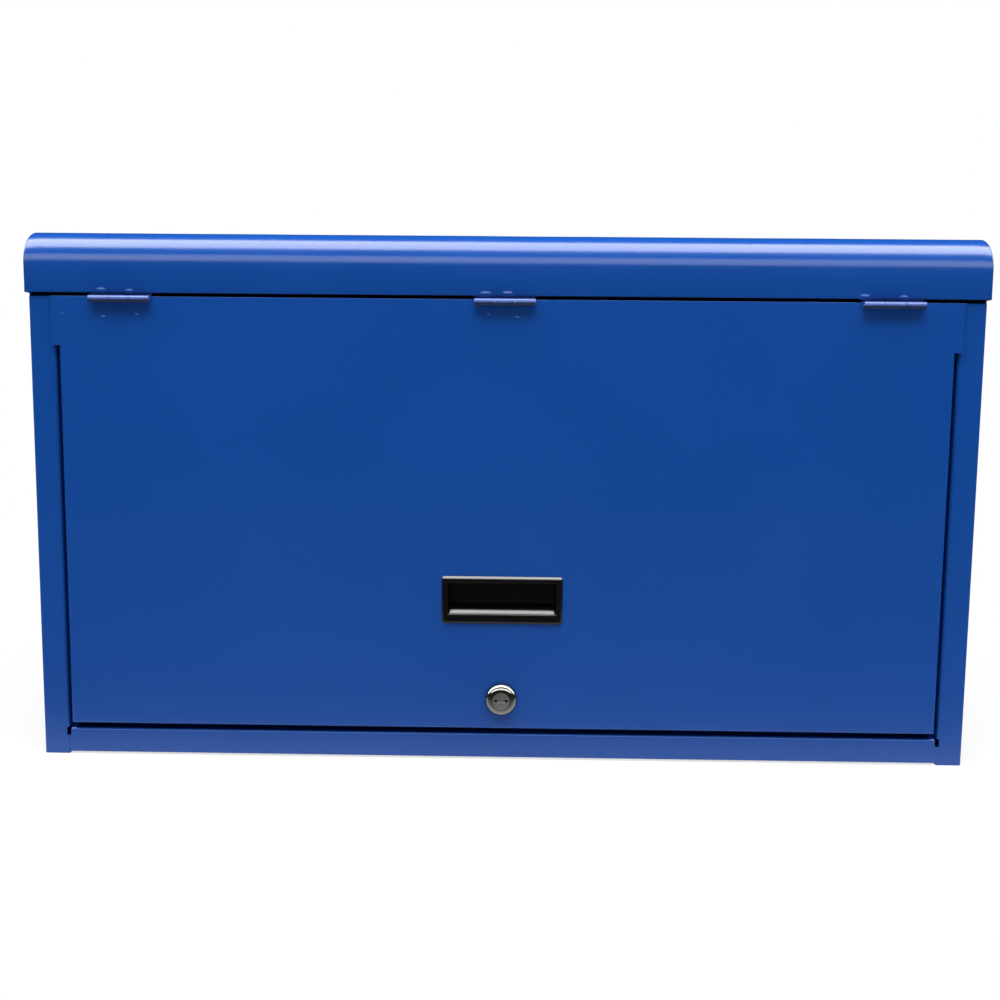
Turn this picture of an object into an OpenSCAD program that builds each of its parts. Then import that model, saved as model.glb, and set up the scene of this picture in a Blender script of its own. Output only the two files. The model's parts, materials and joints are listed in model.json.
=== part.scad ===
// Drawer tool chest in folded sheet steel. The lid is hinged along the back, and a front panel
// hangs from the lid's front edge and covers four drawers and the till above them.
// Millimetres. +X is to the right as seen from the front, +Y to the back and +Z up.
// The origin is on the floor, in the middle of the box that holds the whole chest.

/* [Case] */
// Width over the two side walls
case_w = 660; // [600:5:760]
// Depth from the front face to the back face
case_d = 305; // [290:5:400]
// Height from the floor to the tops of the front stiles
case_h = 326; // [316:1:400]
// Thickness of the case sheet
case_sheet = 1.2; // [1:0.1:1.5]
// Outside radius of the bends in the case sheet
case_bend_r = 2; // [1.8:0.1:3]
// Width of the front stile that is folded from each side wall
stile_w = 18; // [16:0.5:24]
// Depth of the return behind the inner edge of each stile
stile_return = 12; // [8:0.5:13]
// Width of the flange under each side wall, which the chest stands on
foot_flange = 18; // [12:1:30]
// Height of the side walls above the stiles, inside the lid
side_rise = 12; // [6:1:18]
// Width of the flanges that join the back panel to the side walls
back_flange = 14; // [8:1:20]
// Height of the base pan's front and back flanges
base_flange = 10; // [6:1:13]

/* [Sill] */
// Height of the sill's top above the floor
sill_h = 19; // [17:0.5:24]
// Height of the sill's lower edge above the floor
sill_lift = 1.5; // [0.5:0.5:3]
// Depth of the lip that hangs behind the sill and keeps the lock cam in
sill_lip = 10; // [8:0.5:12]
// Width of the bend relief at each end of the sill
relief_w = 3; // [2:0.5:5]
// Height of the bend relief at each end of the sill
relief_h = 5.5; // [3:0.5:7]

/* [Lid] */
// Height of the lid from the lower edge of its skirt to its top
lid_h = 43.5; // [38:0.5:60]
// Radius of the rolled front edge
lid_roll_r = 24; // [12:1:30]
// Radius of the bend along the back edge
lid_back_r = 8; // [4:1:10]
// Thickness of the lid sheet
lid_sheet = 1.2; // [1:0.1:1.5]
// Overhang of the lid past each side wall
lid_overhang = 2; // [1.8:0.1:4]
// Gap between the lid's lower edge and the case
lid_gap = 2.5; // [2.4:0.1:4]
// Angle to which the lid opens
lid_open = 95; // [80:1:100]

/* [Front panel] */
// Thickness of the panel sheet
panel_sheet = 1.2; // [1:0.1:1.5]
// Gap between the panel's side edges and the stiles
panel_side_gap = 3; // [2:0.5:5]
// Gap between the panel's lower edge and the sill
panel_foot_gap = 4; // [2:0.5:6]
// Depth of the flanges folded back along the panel's sides and foot
panel_flange = 12; // [8:0.5:13]
// Outside radius of the bends along the panel's sides and foot
panel_bend_r = 2; // [1.8:0.1:3]
// Height of the ears at the top of the panel
ear_h = 34; // [20:1:50]
// Lap of each ear over its stile, which stops the panel
ear_lap = 2; // [1.5:0.1:4]

/* [Hinges] */
// Length of each hinge
hinge_len = 42; // [30:1:60]
// Distance from the side of the case to the middle of an outer hinge
hinge_inset = 65; // [50:1:110]
// Diameter of the knuckles
knuckle_d = 5; // [4.6:0.1:6]
// Diameter of the hinge pins
hinge_pin_d = 2.2; // [1.8:0.1:2.6]
// Thickness of the hinge leaves
leaf_t = 0.9; // [0.7:0.1:1]
// Height of the hinge leaves from the pin's centre
leaf_h = 18; // [12:1:22]
// Depth of the notches in the panel's top edge that let its hinges lie lower than the gap
hinge_notch = 1.5; // [1:0.1:2]

/* [Lid stays] */
// Distance of the stay's two pivots from the lid hinge
stay_r = 55; // [48:1:56]
// Width of the stay
stay_w = 14; // [12:0.5:16]
// Thickness of the stay and of its bracket
stay_t = 2; // [1.5:0.1:2.4]
// Diameter of the stud that the stay's slot runs on
stud_d = 6; // [5:0.5:7]

/* [Pull handle] */
// Width of the pull's rim
pull_w = 85.5; // [70:0.5:110]
// Height of the pull's rim
pull_h = 34; // [30:1:40]
// Height of the pull's centre above the panel's lower edge
pull_rise = 93.5; // [70:0.5:150]
// Thickness of the rim in front of the panel
pull_rim_t = 1.6; // [1:0.1:2.5]
// Width of the rim at the sides and the top
pull_rim_w = 4.4; // [3.5:0.1:6]
// Width of the rim below the opening
pull_sill_w = 6.2; // [5:0.1:7]
// Size of the slanted lip inside the opening
pull_lip = 3.4; // [2.5:0.1:5]
// Depth of the finger pocket behind the panel's face
pocket_d = 16; // [12:0.5:20]
// Thickness of the pocket's walls
pocket_wall = 1.5; // [1.2:0.1:2]

/* [Lock] */
// Height of the lock's centre above the panel's lower edge
lock_rise = 22; // [20:0.5:40]
// Diameter of the lock's head
lock_head_d = 23; // [20:0.5:26]
// Height of the head in front of the panel
lock_head_t = 6; // [5:0.5:8]
// Diameter of the lock's barrel
lock_barrel_d = 16; // [15:0.5:18]
// Length of the barrel behind the panel's face
lock_barrel_l = 20; // [16:0.5:24]
// Diameter of the key plug
lock_plug_d = 12; // [10:0.5:12.5]
// Thickness of the nut behind the panel
lock_nut_t = 4; // [3:0.5:5]
// Length of the cam from the lock's centre to its tip
cam_len = 35; // [33:0.5:36]
// Width of the cam
cam_w = 14; // [12:0.5:16]
// Thickness of the cam
cam_t = 2.4; // [2:0.1:3]

/* [Drawers] */
// Depth of the till from the stile tops to its floor
till_depth = 99; // [95:1:105]
// Height of the till's front wall below the stile tops
till_rim_drop = 4; // [3:1:20]
// Height of the first drawer's front
drawer_1_h = 38; // [34:1:44]
// Height of the second drawer's front
drawer_2_h = 40; // [34:1:46]
// Height of the third drawer's front
drawer_3_h = 44; // [34:1:48]
// Gap between one drawer front and the next
drawer_gap = 3; // [2:0.5:4]
// Length of the drawers behind their fronts
drawer_l = 260; // [220:5:262]
// Thickness of the drawer sheet
drawer_sheet = 1; // [0.8:0.1:1.2]
// Thickness of the rubber liners
liner_t = 2; // [1:0.5:3]
// Reach of the drawer pulls in front of the fronts
grip_reach = 12; // [10:0.5:14]
// Height of the drawer pulls on the fronts
grip_h = 14; // [12:0.5:18]
// Depth of the finger lip at the front of the drawer pulls
grip_lip = 8; // [7:0.5:10]
// Thickness of the drawer pulls
grip_t = 1.5; // [1.2:0.1:2]

/* [Runners] */
// Thickness of the runner sheet
runner_sheet = 1.2; // [1:0.1:1.5]
// Height of the rails on the drawers
rail_h = 13; // [11:0.5:16]
// Width of the rails from the drawer's side
rail_w = 11.6; // [10:0.1:13]

/* [Side handles] */
// Distance between the two arms of a bail
bail_w = 100; // [80:1:130]
// Drop of the bail from its pivot to the middle of the grip
bail_drop = 42; // [34:1:55]
// Diameter of the bail's rod
bail_rod_d = 7; // [6:0.5:8]
// Radius at the bends of the bail, on the rod's centre line
bail_bend_r = 9; // [7:0.5:12]
// Diameter of the grip sleeve
grip_sleeve_d = 12; // [10:0.5:13]
// Distance from the stile tops down to the bail's pivot
bail_down = 94; // [70:1:170]
// Thickness of the handle plates
plate_t = 1.6; // [1.2:0.1:2.5]
// Height of the handle plates
plate_h = 24; // [22:1:32]
// Radius of the handle plates' corners
plate_corner_r = 6; // [2:0.5:9]
// Margin of the handle plates outside the bail's arms
plate_margin = 6; // [5:0.5:12]
// Length of the lugs that hold the bail's ends
lug_l = 11; // [8:0.5:14]
// Radius of the rivets' heads
rivet_r = 2.4; // [2:0.1:3]

/* [Clearances] */
// Running clearance around pins and studs, on the radius
pin_clear = 0.06; // [0.04:0.01:0.1]
// Clearance between sliding or folded pieces
slide_clear = 0.4; // [0.3:0.05:0.6]
// Clearance around a piece that is let into a cut-out
cutout_clear = 0.3; // [0.2:0.05:0.5]
// Clearance between the stiles and the arc that the ears' top edges swing through
ear_clear = 0.15; // [0.1:0.05:0.3]

/* [Hidden] */
$fn = 64;
joint_overlap = 1;

// Case
case_x = case_w / 2;
wall_x = case_x - case_sheet;
stile_x = case_x - stile_w;
back_y = case_d - case_sheet;
base_z = 2 * case_sheet;
rise_inset = 4;

// Lid
lid_z = case_h + lid_gap;
lid_top = lid_z + lid_h;
lid_x = case_x + lid_overhang;
knuckle_r = knuckle_d / 2;
leaf_gap = 0.05;
rear_axis_y = case_d + knuckle_r;
rear_axis_z = case_h + lid_gap / 2;

// The front pins lie so low that the panel's leaf runs over the panel's notched edge, and the lid's leaf over
// it starts from the tops of its knuckles
front_axis_y = -knuckle_r - cutout_clear;
front_axis_z = case_h - hinge_notch + 2 * (leaf_gap + leaf_t) - knuckle_r;
hinge_xs = [-(case_x - hinge_inset), 0, case_x - hinge_inset];

// The stiles stand behind the arc of the ears' rear top edges about the front pins
ear_swing = norm([panel_sheet - front_axis_y, case_h - front_axis_z]);
stile_y = front_axis_y + ear_swing + ear_clear;

// The chest's depth runs from the lock's head or the front knuckles to the rear knuckles
front_reach = max(lock_head_t, knuckle_r - front_axis_y, pull_rim_t);
rear_reach = case_d + knuckle_d;
mid_y = (rear_reach - front_reach) / 2;

// Front panel
panel_x = stile_x - panel_side_gap;
panel_z = sill_h + panel_foot_gap;
ear_z = case_h - ear_h;
ear_x = stile_x + ear_lap;

// Pull handle
pull_z = panel_z + pull_rise;
pull_open_x = pull_w / 2 - pull_rim_w;
pull_open_z0 = pull_z - pull_h / 2 + pull_sill_w;
pull_open_z1 = pull_z + pull_h / 2 - pull_rim_w;
lip_crest = 1.4;
lip_undercut = pull_lip - pocket_wall;
pocket_x = pull_open_x + pocket_wall;
pocket_z0 = pull_open_z0 + pull_lip - lip_undercut - 2 * pocket_wall;
pocket_z1 = pull_open_z1 + pocket_wall;
pocket_back = pocket_d + pocket_wall;

// Lock
lock_z = panel_z + lock_rise;
lock_barrel_r = lock_barrel_d / 2;
lock_plug_r = lock_plug_d / 2;
cam_y = lock_barrel_l + slide_clear;
cam_screw_d = 8;
cam_screw_t = 2.4;
lock_tail = cam_y + cam_t + cam_screw_t;
sill_d = cam_y - 1.5;

// Drawers
till_z = case_h - till_depth;
till_y = max(stile_return, panel_flange) + 2;
stack_z0 = sill_h + drawer_gap;
stack_z1 = till_z - case_sheet - drawer_gap;
drawer_4_h = stack_z1 - stack_z0 - drawer_1_h - drawer_2_h - drawer_3_h - 3 * drawer_gap;
drawer_hs = [drawer_1_h, drawer_2_h, drawer_3_h, drawer_4_h];
drawer_zs = [for (i = [0:3]) stack_z1 - drawer_gap * i - sum_to(drawer_hs, i)];
front_y = max(pocket_back + grip_reach, lock_tail) + 1.5;
tray_rise = 3;
tray_drop = 6;

// Runners, from the stile inwards: the rail clears the stile as the drawer comes out
rail_x1 = stile_x - 2.4;
tray_x = rail_x1 - rail_w;
channel_x = rail_x1 + 2 * slide_clear;
runner_x = channel_x + runner_sheet;
channel_tip_x = tray_x + 3;
drawer_front_x = tray_x + 6;
channel_h = rail_h + 2 * slide_clear;
channel_y0 = front_y + drawer_sheet + 2;
runner_y1 = back_y - back_flange - 2;
rail_y1 = front_y + drawer_l - 8;

// Lid stays: the two pivots are as far from the lid hinge as each other, one above it and one below,
// so the stay turns half as far as the lid
stay_half = 15;
stay_y = rear_axis_y - stay_r * cos(stay_half);
stay_pivot_z = rear_axis_z + stay_r * sin(stay_half);
stay_stud_z = rear_axis_z - stay_r * sin(stay_half);
stay_slot0 = 2 * stay_r * sin(stay_half);
stay_slot1 = 2 * stay_r * sin(stay_half + lid_open / 2);
stud_r = stud_d / 2;
stud_head_r = stud_r + 3;
bracket_x = wall_x - 1.4;
stay_x = bracket_x - stay_t - slide_clear;

// Side handles
bail_rod_r = bail_rod_d / 2;
bail_arm_y = bail_w / 2;
lug_r = bail_rod_r + 2;
bail_x = case_x + plate_t + max(lug_r, grip_sleeve_d / 2 - plate_t + 1);
bail_z = case_h - bail_down;
lug_y1 = bail_arm_y - bail_bend_r - 1;
lug_y0 = lug_y1 - lug_l;
plate_y = bail_arm_y + plate_margin;
rivet_inset = plate_margin + rivet_r;
rivet_ys = [plate_y - rivet_inset, lug_y0 - 3 * rivet_r];
rivet_z = plate_h / 2 - 2 * rivet_r;

blue = [0.07, 0.27, 0.57];
black = [0.03, 0.03, 0.03];
steel = [0.72, 0.72, 0.74];
zinc = [0.6, 0.61, 0.62];
aluminium = [0.8, 0.8, 0.82];

// Sum of the first n + 1 values of a list
function sum_to(list, n) = n < 0 ? 0 : list[n] + sum_to(list, n - 1);

// Moves from the case's own frame, with its front face at y = 0, to the frame of the whole chest
module chest() translate([0, -mid_y, 0]) children();

// Box between two corners
module block(low, high) translate(low) cube(high - low);

// Profile in (y, z) carried from x0 to x1
module along_x(x0, x1) translate([x0, 0, 0]) rotate([90, 0, 90]) linear_extrude(x1 - x0) children();

// Profile in (x, y) carried from z0 to z1
module along_z(z0, z1) translate([0, 0, z0]) linear_extrude(z1 - z0) children();

// Round bar along the y axis
module bar_y(r, y0, y1) translate([0, y0, 0]) rotate([-90, 0, 0]) cylinder(r = r, h = y1 - y0);

// Round bar along the x axis
module bar_x(r, x0, x1) translate([x0, 0, 0]) rotate([0, 90, 0]) cylinder(r = r, h = x1 - x0);

// Quarter of a sheet's bend, in the quarter plane that starts at the angle
module bend(centre, r, sheet, angle)
    translate(centre) rotate(angle) intersection() {
        difference() {
            circle(r);
            circle(r - sheet);
        }
        square(r);
    }

// Flat strip of a profile between two corners
module strip(low, high) translate(low) square(high - low);

// Rectangle about the origin with round corners
module rounded(size, r) {
    square([size.x - 2 * r, size.y], center = true);
    square([size.x, size.y - 2 * r], center = true);
    for (x = [-1, 1], y = [-1, 1]) translate([x * (size.x / 2 - r), y * (size.y / 2 - r)]) circle(r);
}

// The piece and its mirror image on the other side of the chest
module both_sides() {
    children();
    mirror([1, 0, 0]) children();
}

// Case

// Section of the right side wall and its front stile in (x, y), up to the stile's inner edge
module side_section() {
    r = case_bend_r;
    strip([wall_x, stile_y + r], [case_x, case_d]);
    bend([case_x - r, stile_y + r], r, case_sheet, 270);
    strip([stile_x + r, stile_y], [case_x - r, stile_y + case_sheet]);
}

// Section of the inner edge of the right stile, folded back into the return
module return_section() {
    r = case_bend_r;
    bend([stile_x + r, stile_y + r], r, case_sheet, 180);
    strip([stile_x, stile_y + r], [stile_x + case_sheet, stile_return]);
}

// Bend relief at the corner between the right stile and the sill
module corner_relief() block([stile_x - relief_w / 2, -1, sill_h - relief_h],
                             [stile_x + relief_w / 2, sill_d + 1, sill_h]);

// Right side: wall, stile set back behind the panel's face, foot flange and the rise inside the lid.
// The stile's inner edge is folded back above the sill, and runs flat into the sill's face below its top.
module side() color(blue) chest() {
    difference() {
        union() {
            along_z(0, case_h) side_section();
            along_z(sill_h, case_h) return_section();
            block([stile_x, stile_y, 0], [stile_x + case_bend_r, stile_y + case_sheet, sill_h]);
        }
        corner_relief();
    }
    block([case_x - foot_flange, stile_y + case_sheet, 0], [wall_x, case_d, case_sheet]);
    block([wall_x, rise_inset, case_h - joint_overlap], [case_x, case_d - rise_inset, case_h + side_rise]);
}

module left_side() mirror([1, 0, 0]) side();
module right_side() side();

// Back panel with a flange along each side, folded forwards against the side walls
module back_panel() color(blue) chest() {
    block([-wall_x, back_y, case_sheet], [wall_x, case_d, case_h]);
    both_sides()
        block([wall_x - case_sheet, back_y - back_flange, base_z], [wall_x, back_y, case_h - leaf_h]);
}

// Base pan on the foot flanges, with its front and back edges turned up
module base_pan() color(blue) chest() {
    y0 = stile_y + case_sheet;
    block([-wall_x, y0, case_sheet], [wall_x, back_y, base_z]);
    block([-stile_x + 1, y0, base_z], [stile_x - 1, y0 + case_sheet, base_z + base_flange]);
    block([-stile_x, back_y - case_sheet, base_z], [stile_x, back_y, base_z + base_flange]);
}

// Sill between the stiles: front face flush with theirs, top and the lip that hangs behind
module front_sill() color(blue) chest() {
    r = case_bend_r;
    end_x = runner_x - cutout_clear;
    difference() {
        along_x(-stile_x, stile_x) {
            strip([stile_y, sill_lift], [stile_y + case_sheet, sill_h - r]);
            bend([stile_y + r, sill_h - r], r, case_sheet, 90);
            strip([stile_y + r, sill_h - case_sheet], [sill_d - r, sill_h]);
            bend([sill_d - r, sill_h - r], r, case_sheet, 0);
            strip([sill_d - case_sheet, sill_h - sill_lip], [sill_d, sill_h - r]);
        }
        both_sides() {
            corner_relief();
            block([stile_x - relief_w / 2, -1, sill_h - r], [stile_x + 1, sill_d + 1, sill_h + 1]);
            block([end_x, stile_y + case_sheet, 0], [stile_x + 1, sill_d + 1, sill_h + 1]);
        }
    }
}

// Till: floor, front wall with a folded rim, and flanges at the sides and the back
module till_tray() color(blue) chest() {
    x = wall_x - case_sheet - cutout_clear;
    rim_z = case_h - till_rim_drop;
    side_flange = 15;
    rim_w = 10;
    along_x(-x, x) {
        strip([till_y, till_z - case_sheet], [back_y, till_z]);
        strip([till_y, till_z], [till_y + case_sheet, rim_z]);
        strip([till_y, rim_z - case_sheet], [till_y + rim_w, rim_z]);
        strip([back_y - case_sheet, till_z], [back_y, till_z + side_flange]);
    }
    both_sides()
        block([x - case_sheet, till_y, till_z - joint_overlap],
              [x, back_y - back_flange - 2, till_z + side_flange]);
}

// Right runner panel: stands on the base, carries the till and is flanged out to the side wall
module runner_panel() color(blue) chest() {
    y0 = till_y;
    along_z(base_z, till_z - case_sheet) {
        strip([runner_x, y0], [runner_x + runner_sheet, runner_y1]);
        strip([runner_x, y0], [wall_x, y0 + runner_sheet]);
        strip([runner_x, runner_y1 - runner_sheet], [wall_x, runner_y1]);
    }
}

module left_runner_panel() mirror([1, 0, 0]) runner_panel();
module right_runner_panel() runner_panel();

// Middle height of a drawer's rails
function rail_z(i) = drawer_zs[i] + drawer_hs[i] / 2;

// Right channels, one for each drawer, open towards the drawer
module runners() color(zinc) chest()
    for (i = [0:3])
        translate([0, 0, rail_z(i)])
            difference() {
                block([channel_tip_x, channel_y0, -channel_h / 2 - runner_sheet],
                      [runner_x, runner_y1, channel_h / 2 + runner_sheet]);
                block([channel_tip_x - 1, channel_y0 - 1, -channel_h / 2],
                      [channel_x, runner_y1 + 1, channel_h / 2]);
            }

module left_runners() mirror([1, 0, 0]) runners();
module right_runners() runners();

// Drawers

// Folded tray with its wider front
module tray(i) color(blue) chest() {
    z0 = drawer_zs[i];
    z1 = z0 + drawer_hs[i];
    y1 = front_y + drawer_l;
    floor_z = z0 + tray_rise;
    block([-drawer_front_x, front_y, z0], [drawer_front_x, front_y + drawer_sheet, z1]);
    difference() {
        block([-tray_x, front_y, floor_z], [tray_x, y1, z1 - tray_drop]);
        block([-tray_x + drawer_sheet, front_y + drawer_sheet, floor_z + drawer_sheet],
              [tray_x - drawer_sheet, y1 - drawer_sheet, z1]);
    }
}

// Full width pull along the top of a drawer front, with a finger lip
module drawer_pull(i) color(aluminium) chest() {
    top = drawer_zs[i] + drawer_hs[i];
    r = 2 * grip_t;
    y0 = front_y - grip_reach;
    along_x(-drawer_front_x + 1, drawer_front_x - 1) {
        strip([front_y - grip_t, top - grip_h], [front_y, top]);
        strip([y0 + r, top - grip_t], [front_y, top]);
        bend([y0 + r, top - r], r, grip_t, 90);
        strip([y0, top - grip_lip], [y0 + grip_t, top - r]);
    }
}

// Rails on the two sides of a drawer, open outwards
module rails(i) color(zinc) chest() both_sides()
    translate([0, 0, rail_z(i)])
        difference() {
            block([tray_x, channel_y0, -rail_h / 2], [rail_x1, rail_y1, rail_h / 2]);
            block([tray_x + runner_sheet, channel_y0 - 1, -rail_h / 2 + runner_sheet],
                  [rail_x1 + 1, rail_y1 + 1, rail_h / 2 - runner_sheet]);
        }

// Rubber mat on the floor of a drawer
module liner(i) color(black) chest() {
    inset = drawer_sheet + 1;
    z = drawer_zs[i] + tray_rise + drawer_sheet;
    block([-tray_x + inset, front_y + inset, z], [tray_x - inset, front_y + drawer_l - inset, z + liner_t]);
}

// Lid

// Lid sheet: front skirt, rolled front edge, top, back bend and back skirt
module lid_skin() color(blue) chest()
    along_x(-lid_x, lid_x) {
        strip([0, lid_z], [lid_sheet, lid_top - lid_roll_r]);
        bend([lid_roll_r, lid_top - lid_roll_r], lid_roll_r, lid_sheet, 90);
        strip([lid_roll_r, lid_top - lid_sheet], [case_d - lid_back_r, lid_top]);
        bend([case_d - lid_back_r, lid_top - lid_back_r], lid_back_r, lid_sheet, 0);
        strip([case_d - lid_sheet, lid_z], [case_d, lid_top - lid_back_r]);
    }

// Right end plate, welded inside the lid sheet
module lid_end() color(blue) chest()
    along_x(lid_x - lid_sheet, lid_x) {
        roll_z = lid_top - lid_roll_r;
        bend_z = lid_top - lid_back_r;
        bend_y = case_d - lid_back_r;
        strip([lid_sheet, lid_z], [case_d - lid_sheet, min(roll_z, bend_z)]);
        strip([lid_roll_r, lid_z], [bend_y, lid_top - lid_sheet]);
        strip([lid_sheet, lid_z], [lid_roll_r, roll_z]);
        strip([bend_y, lid_z], [case_d - lid_sheet, bend_z]);
        translate([lid_roll_r, roll_z]) circle(lid_roll_r - lid_sheet);
        translate([bend_y, bend_z]) circle(lid_back_r - lid_sheet);
    }

module lid_left_end() mirror([1, 0, 0]) lid_end();
module lid_right_end() lid_end();

// Hinges

// One leaf with its knuckles, about a pin along x at the origin. The leaf runs back through the gap at a
// height above the pin, and is turned up or down to its end behind a sheet whose face has the given
// distance from the pin. Its knuckles fill the given thirds of the length.
module leaf(face, sheet, run, end, thirds) {
    knuckle_gap = 0.15;
    back = face + sheet + leaf_t;
    third = hinge_len / 3;
    difference() {
        union() {
            along_x(-hinge_len / 2, hinge_len / 2) {
                strip([knuckle_r + slide_clear, run], [back, run + leaf_t]);
                strip([face + sheet, min(run, end)], [back, max(run + leaf_t, end)]);
            }
            for (k = thirds)
                along_x((k - 1.5) * third + knuckle_gap, (k - 0.5) * third - knuckle_gap) {
                    circle(knuckle_r);
                    strip([0, run], [back, run + leaf_t]);
                }
        }
        bar_x(hinge_pin_d / 2 + pin_clear, -hinge_len, hinge_len);
    }
}

// Places a piece at the three hinges of the front edge, or of the rear edge turned round
module front_hinges() chest()
    for (x = hinge_xs) translate([x, front_axis_y, front_axis_z]) children();
module rear_hinges() chest()
    for (x = hinge_xs) translate([x, rear_axis_y, rear_axis_z]) mirror([0, 1, 0]) children();

outer_thirds = [0, 2];
inner_third = [1];

module hinge_pin() bar_x(hinge_pin_d / 2, -hinge_len / 2, hinge_len / 2);

module front_hinge_lid_leaves() color(blue) front_hinges()
    leaf(-front_axis_y, lid_sheet, knuckle_r - leaf_t, leaf_h, outer_thirds);
module front_hinge_panel_leaves() color(blue) front_hinges()
    leaf(-front_axis_y, panel_sheet, knuckle_r - 2 * leaf_t - leaf_gap, -leaf_h, inner_third);
module front_hinge_pins() color(steel) front_hinges() hinge_pin();
module rear_hinge_lid_leaves() color(blue) rear_hinges()
    leaf(knuckle_r, lid_sheet, leaf_gap, leaf_h, outer_thirds);
module rear_hinge_case_leaves() color(blue) rear_hinges() mirror([0, 0, 1])
    leaf(knuckle_r, case_sheet, leaf_gap, leaf_h, inner_third);
module rear_hinge_pins() color(steel) rear_hinges() hinge_pin();

// Lid stays

// Right bracket under the lid: a flange on the lid's underside and a plate down to the stay's pivot
module stay_brackets() color(zinc) chest() both_sides() {
    flange_w = 12;
    under = lid_top - lid_sheet;
    y0 = stay_y - stay_w / 2;
    y1 = stay_y + stay_w / 2;
    difference() {
        union() {
            block([bracket_x - stay_t, y0, stay_pivot_z], [bracket_x, y1, under]);
            block([bracket_x - flange_w, y0, under - stay_t], [bracket_x, y1, under]);
            translate([0, stay_y, stay_pivot_z]) bar_x(stay_w / 2, bracket_x - stay_t, bracket_x);
        }
        translate([0, stay_y, stay_pivot_z]) bar_x(stud_r, bracket_x - flange_w, bracket_x + 1);
    }
}

// Rivets through the brackets that the stays turn on
module stay_rivets() color(steel) chest() both_sides() translate([0, stay_y, stay_pivot_z]) {
    bar_x(stud_r, stay_x - stay_t - slide_clear, bracket_x);
    bar_x(stud_head_r, stay_x - stay_t - slide_clear - 2, stay_x - stay_t - slide_clear);
}

// Right stay at rest: it hangs from its pivot, and its slot runs on the stud
module lid_stay() color(zinc) chest() translate([0, stay_y, stay_pivot_z]) {
    tip = stay_slot1 + stud_head_r;
    difference() {
        union() {
            block([stay_x - stay_t, -stay_w / 2, -tip], [stay_x, stay_w / 2, 0]);
            bar_x(stay_w / 2, stay_x - stay_t, stay_x);
            translate([0, 0, -tip]) bar_x(stay_w / 2, stay_x - stay_t, stay_x);
        }
        bar_x(stud_r + pin_clear, stay_x - stay_t - 1, stay_x + 1);
        for (z = [-stay_slot0, -stay_slot1])
            translate([0, 0, z]) bar_x(stud_r + slide_clear, stay_x - stay_t - 1, stay_x + 1);
        block([stay_x - stay_t - 1, -stud_r - slide_clear, -stay_slot1],
              [stay_x + 1, stud_r + slide_clear, -stay_slot0]);
    }
}

module left_lid_stay() mirror([1, 0, 0]) lid_stay();
module right_lid_stay() lid_stay();

// Shouldered studs on the side walls that the stays' slots run on
module stay_studs() color(steel) chest() both_sides() translate([0, stay_y, stay_stud_z]) {
    bar_x(stud_r, stay_x - stay_t - slide_clear, wall_x);
    bar_x(stud_head_r, stay_x - stay_t - slide_clear - 2, stay_x - stay_t - slide_clear);
    bar_x(stud_head_r - 1, stay_x + slide_clear, wall_x);
}

// Front panel

// Plan of the panel's pan in (x, y), with rounded front corners, set in by the inset
module pan_plan(inset, depth) {
    r = panel_bend_r;
    strip([-panel_x + inset, r], [panel_x - inset, depth]);
    strip([-panel_x + r, inset], [panel_x - r, depth]);
    for (side = [-1, 1]) translate([side * (panel_x - r), r]) circle(r - inset);
}

// Side view of the panel's pan in (y, z), with a rounded lower edge, set in by the inset
module pan_side(inset, depth, top) {
    r = panel_bend_r;
    strip([inset, panel_z + r], [depth, top]);
    strip([r, panel_z + inset], [depth, top]);
    translate([r, panel_z + r]) circle(r - inset);
}

// Pan body between its foot and the given height
module pan_body(inset, depth, top) intersection() {
    along_z(panel_z, top) pan_plan(inset, depth);
    along_x(-panel_x, panel_x) pan_side(inset, depth, top);
}

// Pan with side and foot flanges, and cut-outs for the pull and the lock
module front_panel() color(blue) chest()
    difference() {
        pan_body(0, panel_flange, ear_z);
        pan_body(panel_sheet, panel_flange + 1, ear_z + 1);
        block([-pocket_x - cutout_clear, -1, pocket_z0 - cutout_clear],
              [pocket_x + cutout_clear, panel_flange + 1, pocket_z1 + cutout_clear]);
        translate([0, 0, lock_z]) bar_y(lock_barrel_r + cutout_clear, -1, panel_sheet + 1);
    }

// Head of the panel in the pan's own plane: it carries the hinges, and its ears close against the stiles
module panel_head() color(blue) chest()
    difference() {
        block([-ear_x, 0, ear_z], [ear_x, panel_sheet, case_h]);
        for (x = hinge_xs)
            block([x - hinge_len / 2 - cutout_clear, -1, case_h - hinge_notch],
                  [x + hinge_len / 2 + cutout_clear, panel_sheet + 1, case_h + 1]);
    }

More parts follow.
